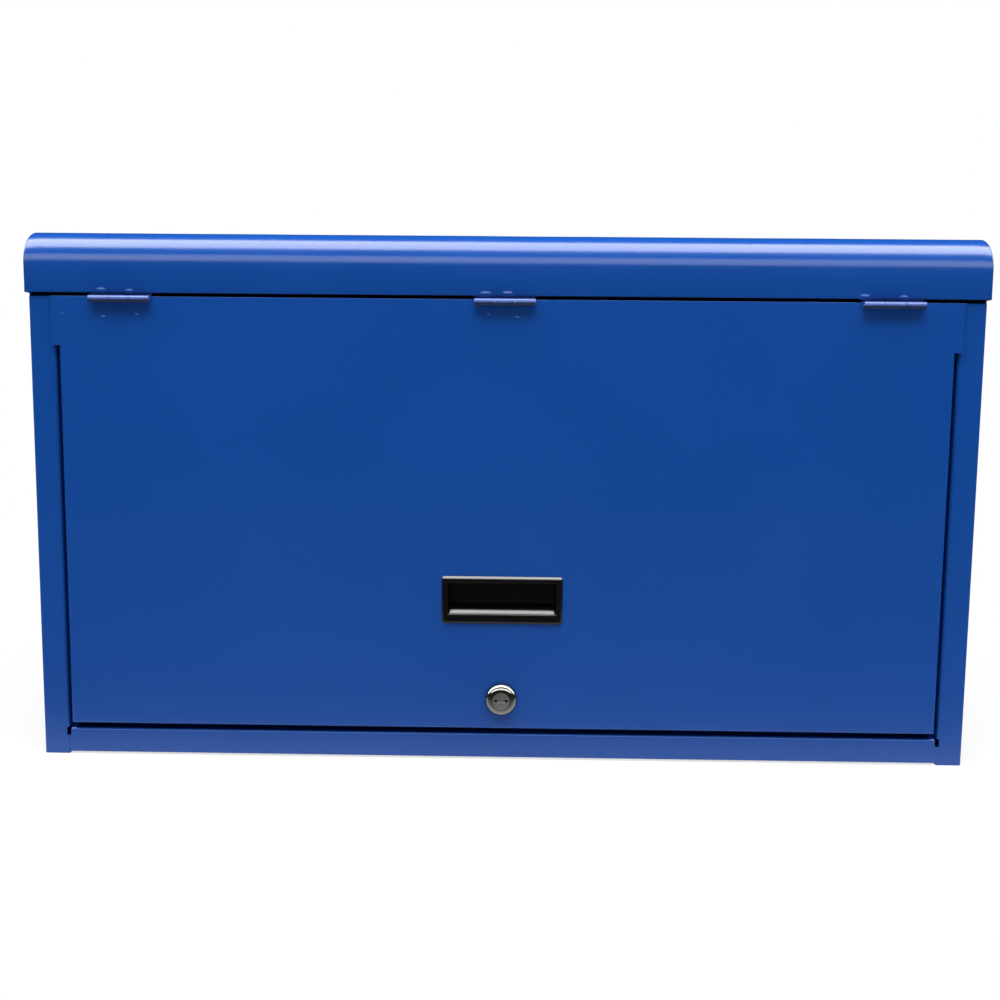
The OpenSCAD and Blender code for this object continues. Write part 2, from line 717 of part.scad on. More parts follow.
// Flush pull: a bevelled rim, a pocket for the fingers and a slanted lip with an undercut behind it
module pull_handle() color(black) chest() {
    bevel = 0.8 * pull_rim_t;
    rim_x = pull_w / 2;
    rim_z0 = pull_z - pull_h / 2;
    rim_z1 = pull_z + pull_h / 2;
    lip_y = -pull_rim_t + pull_lip;
    lip_z = pull_open_z0 + pull_lip;
    difference() {
        union() {
            intersection() {
                along_x(-rim_x, rim_x)
                    polygon([[0, rim_z0], [-pull_rim_t + bevel, rim_z0], [-pull_rim_t, rim_z0 + bevel],
                             [-pull_rim_t, rim_z1 - bevel], [-pull_rim_t + bevel, rim_z1], [0, rim_z1]]);
                along_z(rim_z0, rim_z1)
                    polygon([[-rim_x, 0], [-rim_x, -pull_rim_t + bevel], [-rim_x + bevel, -pull_rim_t],
                             [rim_x - bevel, -pull_rim_t], [rim_x, -pull_rim_t + bevel], [rim_x, 0]]);
            }
            block([-pocket_x, -joint_overlap / 2, pocket_z0], [pocket_x, pocket_back, pocket_z1]);
        }
        along_x(-pull_open_x, pull_open_x)
            polygon([[-pull_rim_t, pull_open_z0], [lip_y, lip_z], [lip_y + lip_crest, lip_z],
                     [lip_y + lip_crest, pocket_z0 + pocket_wall], [pocket_d, pocket_z0 + pocket_wall],
                     [pocket_d, pull_open_z1], [-pull_rim_t, pull_open_z1]]);
        block([-pull_open_x, -pull_rim_t - 1, pull_open_z0], [pull_open_x, -pull_rim_t, pull_open_z1]);
    }
}

// Lock

// Places a revolved piece on the lock's axis, with its own +z pointing out of the panel
module at_lock() chest() translate([0, 0, lock_z]) rotate([90, 0, 0]) children();

// Housing: domed head outside the panel and a barrel behind it, bored for the plug
module lock_housing() color(steel) at_lock() {
    r = lock_head_d / 2;
    bore = lock_plug_r + pin_clear;
    dome = min(lock_head_t, r - lock_plug_r) - 0.5;
    rotate_extrude() difference() {
        union() {
            strip([0, -lock_barrel_l], [lock_barrel_r, joint_overlap]);
            strip([0, 0], [r, lock_head_t - dome]);
            strip([0, 0], [r - dome, lock_head_t]);
            intersection() {
                translate([r - dome, lock_head_t - dome]) circle(dome);
                strip([0, 0], [r, lock_head_t]);
            }
        }
        strip([0, -lock_barrel_l - 1], [bore, lock_head_t + 1]);
    }
}

// Hexagon nut that clamps the barrel to the panel
module lock_nut() color(zinc) at_lock() translate([0, 0, -panel_sheet - lock_nut_t])
    difference() {
        cylinder(r = lock_barrel_r + 4.5, h = lock_nut_t, $fn = 6);
        translate([0, 0, -1]) cylinder(r = lock_barrel_r, h = lock_nut_t + 2);
    }

// Key plug with its keyway across the face and a flatted tail for the cam
module lock_plug() color(zinc) at_lock() {
    keyway_w = 1.8;
    keyway_l = lock_plug_d - 3;
    keyway_d = 8;
    face = lock_head_t - 1;
    tail_r = cam_screw_d / 2 - 1;
    difference() {
        union() {
            translate([0, 0, -cam_y]) cylinder(r = lock_plug_r, h = cam_y + face);
            translate([0, 0, -cam_y - cam_t]) cylinder(r = tail_r, h = cam_t + joint_overlap);
        }
        block([-keyway_l / 2, -keyway_w / 2, face - keyway_d], [keyway_l / 2, keyway_w / 2, face + 1]);
    }
}

// Cam on the plug's tail. It lies sideways when the lock is open, and turns down behind the sill's lip
module lock_cam() color(zinc) at_lock() translate([0, 0, -cam_y - cam_t])
    difference() {
        union() {
            cylinder(r = cam_w / 2, h = cam_t);
            block([0, -cam_w / 2, 0], [cam_len - cam_w / 2, cam_w / 2, cam_t]);
            translate([cam_len - cam_w / 2, 0, 0]) cylinder(r = cam_w / 2, h = cam_t);
        }
        translate([0, 0, -1]) cylinder(r = cam_screw_d / 2 - 1, h = cam_t + 2);
    }

// Screw that holds the cam
module cam_screw() color(steel) at_lock() translate([0, 0, -lock_tail])
    difference() {
        cylinder(r = cam_screw_d / 2, h = cam_screw_t);
        block([-cam_screw_d, -0.6, -1], [cam_screw_d, 0.6, cam_screw_t / 2]);
    }

// Side handles

// Places a piece at the middle of the right side wall, on the bail's pivot line
module at_handle() chest() translate([bail_x, case_d / 2, bail_z]) children();

// Plate on the side wall with two lugs, bored for the bail's ends
module handle_plate() color(zinc) at_handle() {
    plate_x0 = case_x - bail_x;
    difference() {
        union() {
            along_x(plate_x0, plate_x0 + plate_t)
                rounded([2 * plate_y, plate_h], plate_corner_r);
            for (m = [0, 1]) mirror([0, m, 0]) {
                bar_y(lug_r, lug_y0, lug_y1);
                block([plate_x0, lug_y0, -lug_r], [0, lug_y1, lug_r]);
            }
        }
        for (m = [0, 1]) mirror([0, m, 0])
            bar_y(bail_rod_r + pin_clear, lug_y0 - 1, lug_y1 + 1);
    }
}

module left_handle_plate() mirror([1, 0, 0]) handle_plate();
module right_handle_plate() handle_plate();

// Rivet heads that fix the plates to the side walls
module handle_rivets() color(steel) both_sides() at_handle()
    for (y = rivet_ys, m = [0, 1]) mirror([0, m, 0])
        for (z = [-rivet_z, rivet_z])
            translate([0, y, z])
                bar_x(rivet_r, case_x + plate_t - bail_x, case_x + plate_t - bail_x + 1);

// Quarter bend of the bail's rod from the direction along y into the arm
module rod_bend() rotate([90, 0, 90]) rotate_extrude(angle = 90)
    translate([bail_bend_r, 0]) circle(bail_rod_r);

// Bail: two turned-in ends, two arms and the bar that carries the grip
module bail() color(steel) at_handle() {
    r = bail_bend_r;
    for (m = [0, 1]) mirror([0, m, 0]) {
        bar_y(bail_rod_r, lug_y0 - 2, bail_arm_y - r);
        translate([0, bail_arm_y - r, -r]) rod_bend();
        translate([0, bail_arm_y, -bail_drop + r]) cylinder(r = bail_rod_r, h = bail_drop - 2 * r);
        translate([0, bail_arm_y - r, -bail_drop + r]) mirror([0, 0, 1]) rod_bend();
    }
    translate([0, 0, -bail_drop]) bar_y(bail_rod_r, -bail_arm_y + r, bail_arm_y - r);
}

module left_handle_bail() mirror([1, 0, 0]) bail();
module right_handle_bail() bail();

// Sleeve on the bail's bar, moulded with shallow finger grooves
module handle_grip() color(black) at_handle() translate([0, 0, -bail_drop]) {
    half = bail_arm_y - bail_bend_r - 2;
    grooves = 4;
    groove_r = 14;
    pitch = 2 * half / grooves;
    rotate([-90, 0, 0]) rotate_extrude() difference() {
        strip([bail_rod_r, -half], [grip_sleeve_d / 2, half]);
        for (i = [0:grooves - 1])
            translate([grip_sleeve_d / 2 + groove_r - 0.8, -half + (i + 0.5) * pitch]) circle(groove_r);
    }
}

module left_handle_grip() mirror([1, 0, 0]) handle_grip();
module right_handle_grip() handle_grip();

left_side();
right_side();
back_panel();
base_pan();
front_sill();
till_tray();
left_runner_panel();
right_runner_panel();
left_runners();
right_runners();
stay_studs();
rear_hinge_case_leaves();
left_handle_plate();
right_handle_plate();
handle_rivets();
lid_skin();
lid_left_end();
lid_right_end();
front_hinge_lid_leaves();
front_hinge_pins();
rear_hinge_lid_leaves();
rear_hinge_pins();
stay_brackets();
stay_rivets();
left_lid_stay();
right_lid_stay();
front_panel();
panel_head();
front_hinge_panel_leaves();
pull_handle();
lock_housing();
lock_nut();
lock_plug();
lock_cam();
cam_screw();
for (i = [0:3]) {
    tray(i);
    drawer_pull(i);
    rails(i);
    liner(i);
}
left_handle_bail();
right_handle_bail();
left_handle_grip();
right_handle_grip();
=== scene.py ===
"""Looks of a drawer tool chest in blue powder-coated sheet steel, dressed around its CAD frame.

Every length is in metres, in the frame of the CAD model: +X to the right, +Y to the back, +Z up.
"""
import json
import math

import bpy
import numpy as np
from bpy.props import FloatProperty, FloatVectorProperty, PointerProperty
from mathutils import Matrix, Vector


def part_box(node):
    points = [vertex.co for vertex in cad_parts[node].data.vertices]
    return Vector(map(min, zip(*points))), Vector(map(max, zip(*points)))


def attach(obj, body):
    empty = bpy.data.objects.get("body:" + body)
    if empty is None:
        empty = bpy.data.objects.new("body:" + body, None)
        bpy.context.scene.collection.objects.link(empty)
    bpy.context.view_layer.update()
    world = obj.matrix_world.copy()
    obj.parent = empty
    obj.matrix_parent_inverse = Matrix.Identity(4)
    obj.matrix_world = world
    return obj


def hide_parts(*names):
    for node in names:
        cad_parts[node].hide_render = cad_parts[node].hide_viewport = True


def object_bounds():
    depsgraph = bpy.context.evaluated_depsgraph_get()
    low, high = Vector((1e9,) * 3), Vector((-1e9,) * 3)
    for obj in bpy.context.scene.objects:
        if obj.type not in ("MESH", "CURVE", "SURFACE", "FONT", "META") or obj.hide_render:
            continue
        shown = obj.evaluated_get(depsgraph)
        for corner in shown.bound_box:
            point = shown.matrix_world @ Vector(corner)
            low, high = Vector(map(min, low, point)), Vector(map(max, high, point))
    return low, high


bl_info = {
    "name": "Drawer tool chest",
    "version": (1, 0, 0),
    "blender": (4, 5, 0),
    "location": "3D View > Sidebar > Tool chest",
    "description": "Sheet steel, fittings and finishes of a drawer tool chest",
    "category": "Object",
}

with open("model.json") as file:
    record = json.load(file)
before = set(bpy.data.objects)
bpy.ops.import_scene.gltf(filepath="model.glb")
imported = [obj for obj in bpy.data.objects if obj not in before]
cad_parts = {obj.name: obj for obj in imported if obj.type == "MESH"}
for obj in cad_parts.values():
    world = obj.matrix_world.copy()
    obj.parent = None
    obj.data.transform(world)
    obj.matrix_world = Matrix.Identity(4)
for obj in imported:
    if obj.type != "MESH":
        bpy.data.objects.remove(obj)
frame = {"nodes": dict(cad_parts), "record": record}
NODES = frame["nodes"]
CAD_BOX = [list(corner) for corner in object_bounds()]
DRAWERS = (1, 2, 3, 4)
SIDES = (("left", -1), ("right", 1))


# Sizes and colours

def size_of(name, description, default):
    """Length in metres that a user can change."""
    return FloatProperty(name=name, description=description, default=default, unit="LENGTH")


def colour_of(name, description, default):
    """Colour that a user can change."""
    return FloatVectorProperty(
        name=name, description=description, default=default, subtype="COLOR", size=3, min=0, max=1)


def light_of(name, description, default):
    """Brightness that a user can change."""
    return FloatProperty(name=name, description=description, default=default, min=0)


class ChestSizes(bpy.types.PropertyGroup):
    """Sizes of the dressed pieces that the CAD solids don't give"""
    roll_radius: size_of("Lid roll", "Outside radius of the lid's front edge", 0.024)
    back_radius: size_of("Lid back bend", "Outside radius of the lid's back edge", 0.008)
    lid_sheet: size_of("Lid sheet", "Thickness of the lid's sheet", 0.0012)
    sheet_wave: size_of("Sheet wave", "Height of the waves that rolling leaves in the sheet", 0.00012)
    sheet: size_of("Sheet", "Thickness of the case, panel and runner sheet", 0.0012)
    drawer_sheet: size_of("Drawer sheet", "Thickness of the drawers' sheet", 0.001)
    pull_sheet: size_of("Pull strip", "Thickness of the drawers' pull strips", 0.0015)
    bend_radius: size_of("Bends", "Outside radius of the folded edges", 0.002)
    hinge_length: size_of("Hinges", "Length of a front hinge", 0.042)
    hinge_notch: size_of("Hinge notches", "Depth of the notches in the panel's top edge", 0.0015)
    pull_rim: size_of("Pull rim", "Width of the pull's rim", 0.0044)
    pull_sill: size_of("Pull sill", "Width of the pull's rim below its opening", 0.0070)
    pull_lip: size_of("Pull lip", "Height and depth of the slanted lip", 0.0034)
    pull_edge: size_of("Pull edge", "Bevel of the rim, across its face", 0.0017)
    pull_wall: size_of("Pull wall", "Wall of the pull's pocket", 0.0015)
    rib_pitch: size_of("Mat ribs", "Distance between two ribs of a drawer mat", 0.004)
    edge_round: size_of("Edge round", "Rounding of the sheet's cut edges", 0.00025)


class ChestColours(bpy.types.PropertyGroup):
    """Colours of the finishes"""
    paint: colour_of("Paint", "Powder coat", (0.0016, 0.036, 0.185))
    plastic: colour_of("Plastic", "Moulded pull and grips", (0.0014, 0.0013, 0.0013))
    chrome: colour_of("Chrome", "Plated lock", (0.31, 0.31, 0.285))
    zinc: colour_of("Zinc", "Plated steel fittings", (0.50, 0.51, 0.52))
    aluminium: colour_of("Aluminium", "Drawer pulls", (0.70, 0.70, 0.71))
    rubber: colour_of("Rubber", "Drawer mats", (0.018, 0.018, 0.019))


class StageLook(bpy.types.PropertyGroup):
    """Light, floor and camera"""
    softbox: light_of("Softbox", "Brightness of the softbox over the lid", 9.0)
    front_light: light_of("Front light", "Brightness of the light in front of the chest", 3.2)
    key_light: light_of("Key light", "Brightness of the light that shades the fittings", 14.0)
    back_light: light_of("Back light", "Brightness of the light behind the chest", 4.0)
    # The floor beside the chest glows for diffuse rays only and so lights the chest from below
    floor_light: light_of("Floor light", "Brightness of the lit floor beside the chest", 0.9)
    room: light_of("Room", "Brightness of the rest of the room", 0.03)
    camera_lens: FloatProperty(
        name="Lens", description="Focal length in millimetres on a 36 mm sensor", default=36.0, min=1)


def sizes():
    """The chest's sizes in this scene."""
    return bpy.context.scene.chest_sizes


def colours():
    """The chest's colours in this scene."""
    return bpy.context.scene.chest_colours


def look():
    """The stage's look in this scene."""
    return bpy.context.scene.chest_stage


# Shapes worked out on grids

def fold(corners, radii, steps):
    """Line through the corners, in which each inner corner is an arc that touches both of its sides.

    The arc starts r tan(a / 2) before the corner, where a is the angle by which the line turns there.
    """
    corners = np.asarray(corners, float)
    line = [corners[:1]]
    for before, corner, after, radius in zip(corners, corners[1:], corners[2:], radii):
        into = (corner - before) / np.linalg.norm(corner - before)
        out = (after - corner) / np.linalg.norm(after - corner)
        turn = math.atan2(into[0] * out[1] - into[1] * out[0], into @ out)
        start = corner - into * radius * math.tan(abs(turn) / 2)
        side = np.array([-into[1], into[0]]) * math.copysign(radius, turn)
        t = np.linspace(0, turn, steps + 1)[:, None]
        spoke = -side
        arc = np.hstack([spoke[0] * np.cos(t) - spoke[1] * np.sin(t),
                         spoke[0] * np.sin(t) + spoke[1] * np.cos(t)])
        line.append(start + side + arc)
    line.append(corners[-1:])
    return np.vstack(line)


def finer(line, longest):
    """The line with points added, so that no straight stretch is longer than the given length."""
    gaps = np.linalg.norm(np.diff(line, axis=0), axis=1)
    counts = np.maximum(1, np.ceil(gaps / longest).astype(int))
    pieces = [np.linspace(a, b, n, endpoint=False) for a, b, n in zip(line, line[1:], counts)]
    return np.vstack(pieces + [line[-1:]])


def normals_of(line):
    """Left-hand normals of a line, as long as parallel lines need at its corners."""
    step = np.diff(line, axis=0)
    step /= np.linalg.norm(step, axis=1)[:, None]
    before = np.vstack([step[:1], step])
    after = np.vstack([step, step[-1:]])
    mid = before + after
    mid /= np.linalg.norm(mid, axis=1)[:, None]
    stretch = 1 / np.maximum(0.2, np.sum(mid * after, axis=1))
    return np.column_stack([-mid[:, 1], mid[:, 0]]) * stretch[:, None]


# Angles round the quarter circle of a sheet's free edge
EDGE = np.radians([0, 22, 44, 64, 82])


def sheet_section(line, sheet):
    """Middle line and half thickness of a sheet's section, whose two free edges are half round.

    Along each edge the half thickness falls as the cosine of an angle while the line runs on as its sine.
    """
    line = np.asarray(line, float)
    half = sheet / 2
    first = (line[0] - line[1]) / np.linalg.norm(line[0] - line[1])
    last = (line[-1] - line[-2]) / np.linalg.norm(line[-1] - line[-2])
    reach = half * (np.sin(EDGE) - 1)[:, None]
    normal = normals_of(line)
    mid = np.vstack([(line[0] + reach * first)[::-1], line[1:-1], line[-1] + reach * last])
    fall = np.cos(EDGE)
    off = np.vstack([np.outer(fall[::-1], normal[0]), normal[1:-1], np.outer(fall, normal[-1])])
    return mid, off * half


def place(axis, a, b, s):
    """Puts section coordinates (a, b) and the way along the axis s in the order x, y, z."""
    order = {"x": (s, a, b), "y": (a, s, b), "z": (a, b, s)}[axis]
    return np.stack(np.broadcast_arrays(*order), axis=-1)


def outward(points, faces):
    """Turns all faces round if the closed shell's volume, the sum of its tetrahedra, comes out negative."""
    volume = 0.0
    for block in faces:
        p = points[block]
        for k in range(1, block.shape[1] - 1):
            volume += np.einsum("ij,ij->i", p[:, 0], np.cross(p[:, k], p[:, k + 1])).sum()
    return faces if volume > 0 else [block[:, ::-1] for block in faces]


def tube_faces(stations, ring, closed=False):
    """Quads between neighbouring closed rings of points."""
    s = np.arange(stations if closed else stations - 1)[:, None]
    j = np.arange(ring)[None, :]
    t, k = (s + 1) % stations, (j + 1) % ring
    return np.stack([s * ring + j, s * ring + k, t * ring + k, t * ring + j], axis=-1).reshape(-1, 4)


def folded(line, sheet, start, end, axis, ends="half", stations=2, wave=None):
    """Sheet with the given middle line as its section, carried straight from start to end along an axis.

    Its ends are half round, or with ends "outer" only the outer edge is, as a quarter circle of the
    sheet's thickness. A wave moves the section inwards along its normal.
    """
    mid, off = sheet_section(line, sheet)
    reach = sheet / 2 if ends == "half" else sheet
    tip = reach * (np.sin(EDGE[1:]) - 1)
    run = np.linspace(start + reach, end - reach, stations)
    s = np.concatenate([(start - tip)[::-1], run, end + tip])
    fall = np.concatenate([np.cos(EDGE[1:])[::-1], np.ones(stations), np.cos(EDGE[1:])])
    outer = fall if ends == "half" else 2 * fall - 1
    inner = fall if ends == "half" else np.ones_like(fall)
    front = mid + off * outer[:, None, None]
    back = mid - off * inner[:, None, None]
    if wave is not None:
        way = np.concatenate([[0], np.cumsum(np.linalg.norm(np.diff(mid, axis=0), axis=1))])
        unit = off / np.linalg.norm(off, axis=1)[:, None]
        move = unit * wave(s[:, None], way[None, :])[..., None]
        front, back = front - move, back - move
    loop = np.concatenate([front, back[:, ::-1]], axis=1)
    ring, k = loop.shape[1], len(mid)
    points = place(axis, loop[..., 0], loop[..., 1], s[:, None]).reshape(-1, 3)
    i = np.arange(k - 1)
    cap = np.stack([i + 1, i, ring - 1 - i, ring - 2 - i], axis=-1)
    last = (len(s) - 1) * ring
    return points, outward(points, [tube_faces(len(s), ring), cap, cap[:, ::-1] + last])


def turned(profile, centre, axis, segments=48):
    """Profile of (radius, height) pairs, from pole to pole, turned about an axis through the centre."""
    profile = np.asarray(profile, float)
    t = np.linspace(0, 2 * np.pi, segments, endpoint=False)
    rings = profile[1:-1]
    a = rings[:, :1] * np.cos(t)
    b = rings[:, :1] * np.sin(t)
    points = place(axis, a, b, rings[:, 1:]).reshape(-1, 3)
    poles = np.zeros((2, 3))
    poles[:, "xyz".index(axis)] = profile[[0, -1], 1]
    n = len(rings)
    j = np.arange(segments)
    k = (j + 1) % segments
    first, last = n * segments, n * segments + 1
    low = np.stack([np.full(segments, first), k, j], axis=-1)
    high = np.stack([np.full(segments, last), (n - 1) * segments + j, (n - 1) * segments + k], axis=-1)
    points = np.vstack([points, poles]) + np.asarray(centre, float)
    return points, outward(points, [tube_faces(n, segments), low, high])


def ring_turned(profile, centre, axis, segments=64):
    """Closed profile of (radius, height) pairs turned about an axis, as a ring with a bore."""
    profile = np.asarray(profile, float)
    t = np.linspace(0, 2 * np.pi, segments, endpoint=False)
    a = np.cos(t)[:, None] * profile[:, 0]
    b = np.sin(t)[:, None] * profile[:, 0]
    points = place(axis, a, b, profile[:, 1]).reshape(-1, 3) + np.asarray(centre, float)
    return points, outward(points, [tube_faces(segments, len(profile), closed=True)])


def grid_sheet(front, back, keep):
    """Closed sheet between two grids of points, of which only the cells in keep are there.

    Each cell has one face in front and one behind. Where a cell ends at a gap or at the grid's edge,
    a face joins the two grids.
    """
    rows, columns = keep.shape
    count = (rows + 1) * (columns + 1)
    index = np.arange(count).reshape(rows + 1, columns + 1)
    cells = np.stack([index[:-1, :-1], index[:-1, 1:], index[1:, 1:], index[1:, :-1]], axis=-1)
    rim = np.pad(keep, 1)
    faces = [cells[keep], cells[keep][:, ::-1] + count]
    for k, (down, across) in enumerate(((-1, 0), (0, 1), (1, 0), (0, -1))):
        beside = rim[1 + down:rows + 1 + down, 1 + across:columns + 1 + across]
        edge = cells[keep & ~beside]
        a, b = edge[:, k], edge[:, (k + 1) % 4]
        faces.append(np.stack([b, a, a + count, b + count], axis=-1))
    points = np.concatenate([front.reshape(-1, 3), back.reshape(-1, 3)])
    used, faces = np.unique(np.concatenate(faces), return_inverse=True)
    return points[used], outward(points[used], [faces.reshape(-1, 4)])


def rounded_loop(half, low, high, radius, steps=5):
    """Rectangle of the given half width, between two heights, whose corners are quarter circles."""
    t = np.arange(4)[:, None] * np.pi / 2 + np.linspace(0, np.pi / 2, steps + 1)
    x = np.array([1, -1, -1, 1])[:, None] * (half - radius) + radius * np.cos(t)
    z = np.array([high - radius, high - radius, low + radius, low + radius])[:, None] + radius * np.sin(t)
    return np.column_stack([x.ravel(), z.ravel()])


def lofted(loops, depths):
    """Closed shell through loops of as many points each, one at each depth along y, with flat ends."""
    loops = np.stack(loops)
    count, ring = loops.shape[:2]
    points = place("y", loops[..., 0], loops[..., 1], np.asarray(depths, float)[:, None]).reshape(-1, 3)
    cap = np.arange(ring)[None, :]
    return points, outward(points, [tube_faces(count, ring), cap[:, ::-1], cap + (count - 1) * ring])


def ribbed(low, high, pitch, depth, steps=8):
    """Mat whose upper side has ribs along y: across x its height falls by depth (1 - |sin| ^ 0.7)."""
    count = max(2, round((high[0] - low[0]) / pitch)) * steps + 1
    x = np.linspace(low[0], high[0], count)
    top = high[2] - depth * (1 - np.abs(np.sin((x - low[0]) / pitch * np.pi)) ** 0.7)
    loop = np.concatenate([np.column_stack([x, top]), [[high[0], low[2]], [low[0], low[2]]]])
    return lofted([loop, loop], (low[1], high[1]))


def channel(tip, web, low, high, start, end):
    """Folded channel along y: two flanges from the tip to the web, between two heights."""
    s = sizes()
    t = math.copysign(s.sheet / 2, web - tip)
    h = s.sheet / 2
    corners = [(tip, low + h), (web - t, low + h), (web - t, high - h), (tip, high - h)]
    line = fold(corners, (s.bend_radius - h,) * 2, steps=6)
    return folded(line, s.sheet, start, end, "y")


# Points of a CAD mesh that are nearer than this are one point
SAME_POINT = 1e-5


def soften(piece, width, segments, angle):
    """Rounds the edges of a piece by modifiers, and keeps its flats flat in the shading."""
    weld = piece.modifiers.new("weld", "WELD")
    weld.merge_threshold = SAME_POINT
    rounding = piece.modifiers.new("rounding", "BEVEL")
    rounding.width = width
    rounding.segments = segments
    rounding.limit_method = "ANGLE"
    rounding.angle_limit = math.radians(angle)
    flats = piece.modifiers.new("flats", "WEIGHTED_NORMAL")
    flats.keep_sharp = False


def mesh_piece(name, parts, body, slot, replaces=(), smooth=30):
    """One object from several closed shells, which rides on a body and stands for CAD nodes."""
    points, faces, count = [], [], 0
    for shell, blocks in parts:
        points.append(shell)
        faces += [block + count for block in blocks]
        count += len(shell)
    mesh = bpy.data.meshes.new(name)
    mesh.from_pydata(np.vstack(points), [], [f for block in faces for f in block.tolist()])
    mesh.validate()
    mesh.shade_smooth()
    mesh.set_sharp_from_angle(angle=math.radians(smooth))
    mesh.materials.append(finish(slot))
    piece = bpy.data.objects.new(name, mesh)
    bpy.context.scene.collection.objects.link(piece)
    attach(piece, body)
    if replaces:
        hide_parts(*replaces)
    return piece


# Finishes

# Powder coat: spread of its tone and gloss, its gloss, and the pebbles of its skin in a metre
PAINT = {"Tone": 0.16, "Roughness": 0.2, "Variation": 0.06, "Pebble Size": 520.0}
HINGE_PAINT = {**PAINT, "Roughness": 0.26}
# Patches of tone in a metre
BROAD_SCALE = 9.0
SURFACE_INPUTS = (
    ("Vector", "NodeSocketVector", (0, 0, 0)),
    ("Color", "NodeSocketColor", (0.5, 0.5, 0.5, 1)),
    ("Tone", "NodeSocketFloat", 0.1),
    ("Roughness", "NodeSocketFloat", 0.3),
    ("Variation", "NodeSocketFloat", 0.1),
)
SURFACE_OUTPUTS = (
    ("Color", "NodeSocketColor"), ("Roughness", "NodeSocketFloat"), ("Height", "NodeSocketFloat"))


def new_group(name, inputs, outputs):
    """Shader node group with its sockets, and the nodes at its two ends."""
    group = bpy.data.node_groups.new(name, "ShaderNodeTree")
    for label, kind, value in inputs:
        group.interface.new_socket(label, in_out="INPUT", socket_type=kind).default_value = value
    for label, kind in outputs:
        group.interface.new_socket(label, in_out="OUTPUT", socket_type=kind)
    return group, group.nodes.new("NodeGroupInput"), group.nodes.new("NodeGroupOutput")


def link(tree, source, target):
    """Joins two sockets."""
    tree.links.new(source, target)


def feed(tree, value, socket):
    """Gives a socket its value, which is a constant or another socket."""
    if isinstance(value, bpy.types.NodeSocket):
        link(tree, value, socket)
    else:
        socket.default_value = value


def noise(tree, vector, scale, detail, roughness=0.5):
    """Soft noise from 0 to 1."""
    node = tree.nodes.new("ShaderNodeTexNoise")
    node.inputs["Detail"].default_value = detail
    node.inputs["Roughness"].default_value = roughness
    feed(tree, scale, node.inputs["Scale"])
    link(tree, vector, node.inputs["Vector"])
    return node.outputs["Fac"]


def math_node(tree, operation, a, b=0.0, clamp=False):
    """Works one value out from two, held between 0 and 1 if clamped."""
    node = tree.nodes.new("ShaderNodeMath")
    node.operation = operation
    node.use_clamp = clamp
    feed(tree, a, node.inputs[0])
    feed(tree, b, node.inputs[1])
    return node.outputs[0]


def vector_node(tree, operation, a, b):
    """Works one colour or vector out from two."""
    node = tree.nodes.new("ShaderNodeVectorMath")
    node.operation = operation
    feed(tree, a, node.inputs[0])
    feed(tree, b, node.inputs[1])
    return node.outputs[0]


def shaded(tree, colour, factor):
    """Multiplies a colour by a value."""
    node = tree.nodes.new("ShaderNodeVectorMath")
    node.operation = "SCALE"
    link(tree, colour, node.inputs[0])
    link(tree, factor, node.inputs["Scale"])
    return node.outputs[0]


def stretched(tree, vector, scale):
    """Coordinates times a factor for each axis."""
    node = tree.nodes.new("ShaderNodeMapping")
    node.inputs["Scale"].default_value = scale
    link(tree, vector, node.inputs["Vector"])
    return node.outputs[0]


def coordinates(tree):
    """Object coordinates of a material, apart."""
    where = tree.nodes.new("ShaderNodeSeparateXYZ")
    link(tree, tree.nodes.new("ShaderNodeTexCoord").outputs["Object"], where.inputs[0])
    return where.outputs


def vary(group, source, sink, pattern, height):
    """Lets a pattern change tone and gloss about its middle, and puts out the height."""
    middle = math_node(group, "SUBTRACT", pattern, 0.5)
    tone = math_node(group, "MULTIPLY", middle, source.outputs["Tone"])
    colour = shaded(group, source.outputs["Color"], math_node(group, "ADD", tone, 1.0))
    change = math_node(group, "MULTIPLY", middle, source.outputs["Variation"])
    gloss = math_node(group, "ADD", change, source.outputs["Roughness"], True)
    link(group, colour, sink.inputs["Color"])
    link(group, gloss, sink.inputs["Roughness"])
    link(group, height, sink.inputs["Height"])


def skin_group():
    """Skin of a coated or moulded surface: broad tone, fine pebbling of the gloss, and its height."""
    pebbles = ("Pebble Size", "NodeSocketFloat", 700.0)
    group, source, sink = new_group("surface skin", (*SURFACE_INPUTS, pebbles), SURFACE_OUTPUTS)
    vector = source.outputs["Vector"]
    broad = noise(group, vector, BROAD_SCALE, 3.0)
    fine = noise(group, vector, source.outputs["Pebble Size"], 1.5)
    vary(group, source, sink, broad, fine)
    return group


def grain_group():
    """Brushed or drawn metal: streaks along one axis that change the tone, the gloss and the height."""
    group, source, sink = new_group("drawn grain", SURFACE_INPUTS, SURFACE_OUTPUTS)
    streak = noise(group, source.outputs["Vector"], 1.0, 3.0, 0.6)
    vary(group, source, sink, streak, streak)
    return group


def new_finish(name, group, colour, values, bump, height, mapping=None, metallic=0.0, index=1.5):
    """Material with one group that drives colour, gloss and bump of a Principled shader."""
    material = bpy.data.materials.new(name)
    material.use_nodes = True
    tree = material.node_tree
    shader = tree.nodes["Principled BSDF"]
    shader.inputs["Metallic"].default_value = metallic
    shader.inputs["IOR"].default_value = index
    where = tree.nodes.new("ShaderNodeTexCoord").outputs["Object"]
    if mapping is not None:
        where = stretched(tree, where, mapping)
    node = tree.nodes.new("ShaderNodeGroup")
    node.node_tree = group
    link(tree, where, node.inputs["Vector"])
    node.inputs["Color"].default_value = (*colour, 1)
    for label, value in values.items():
        node.inputs[label].default_value = value
    relief = tree.nodes.new("ShaderNodeBump")
    relief.inputs["Strength"].default_value = bump
    relief.inputs["Distance"].default_value = height
    link(tree, node.outputs["Color"], shader.inputs["Base Color"])
    link(tree, node.outputs["Roughness"], shader.inputs["Roughness"])
    link(tree, node.outputs["Height"], relief.inputs["Height"])
    link(tree, relief.outputs["Normal"], shader.inputs["Normal"])
    return material
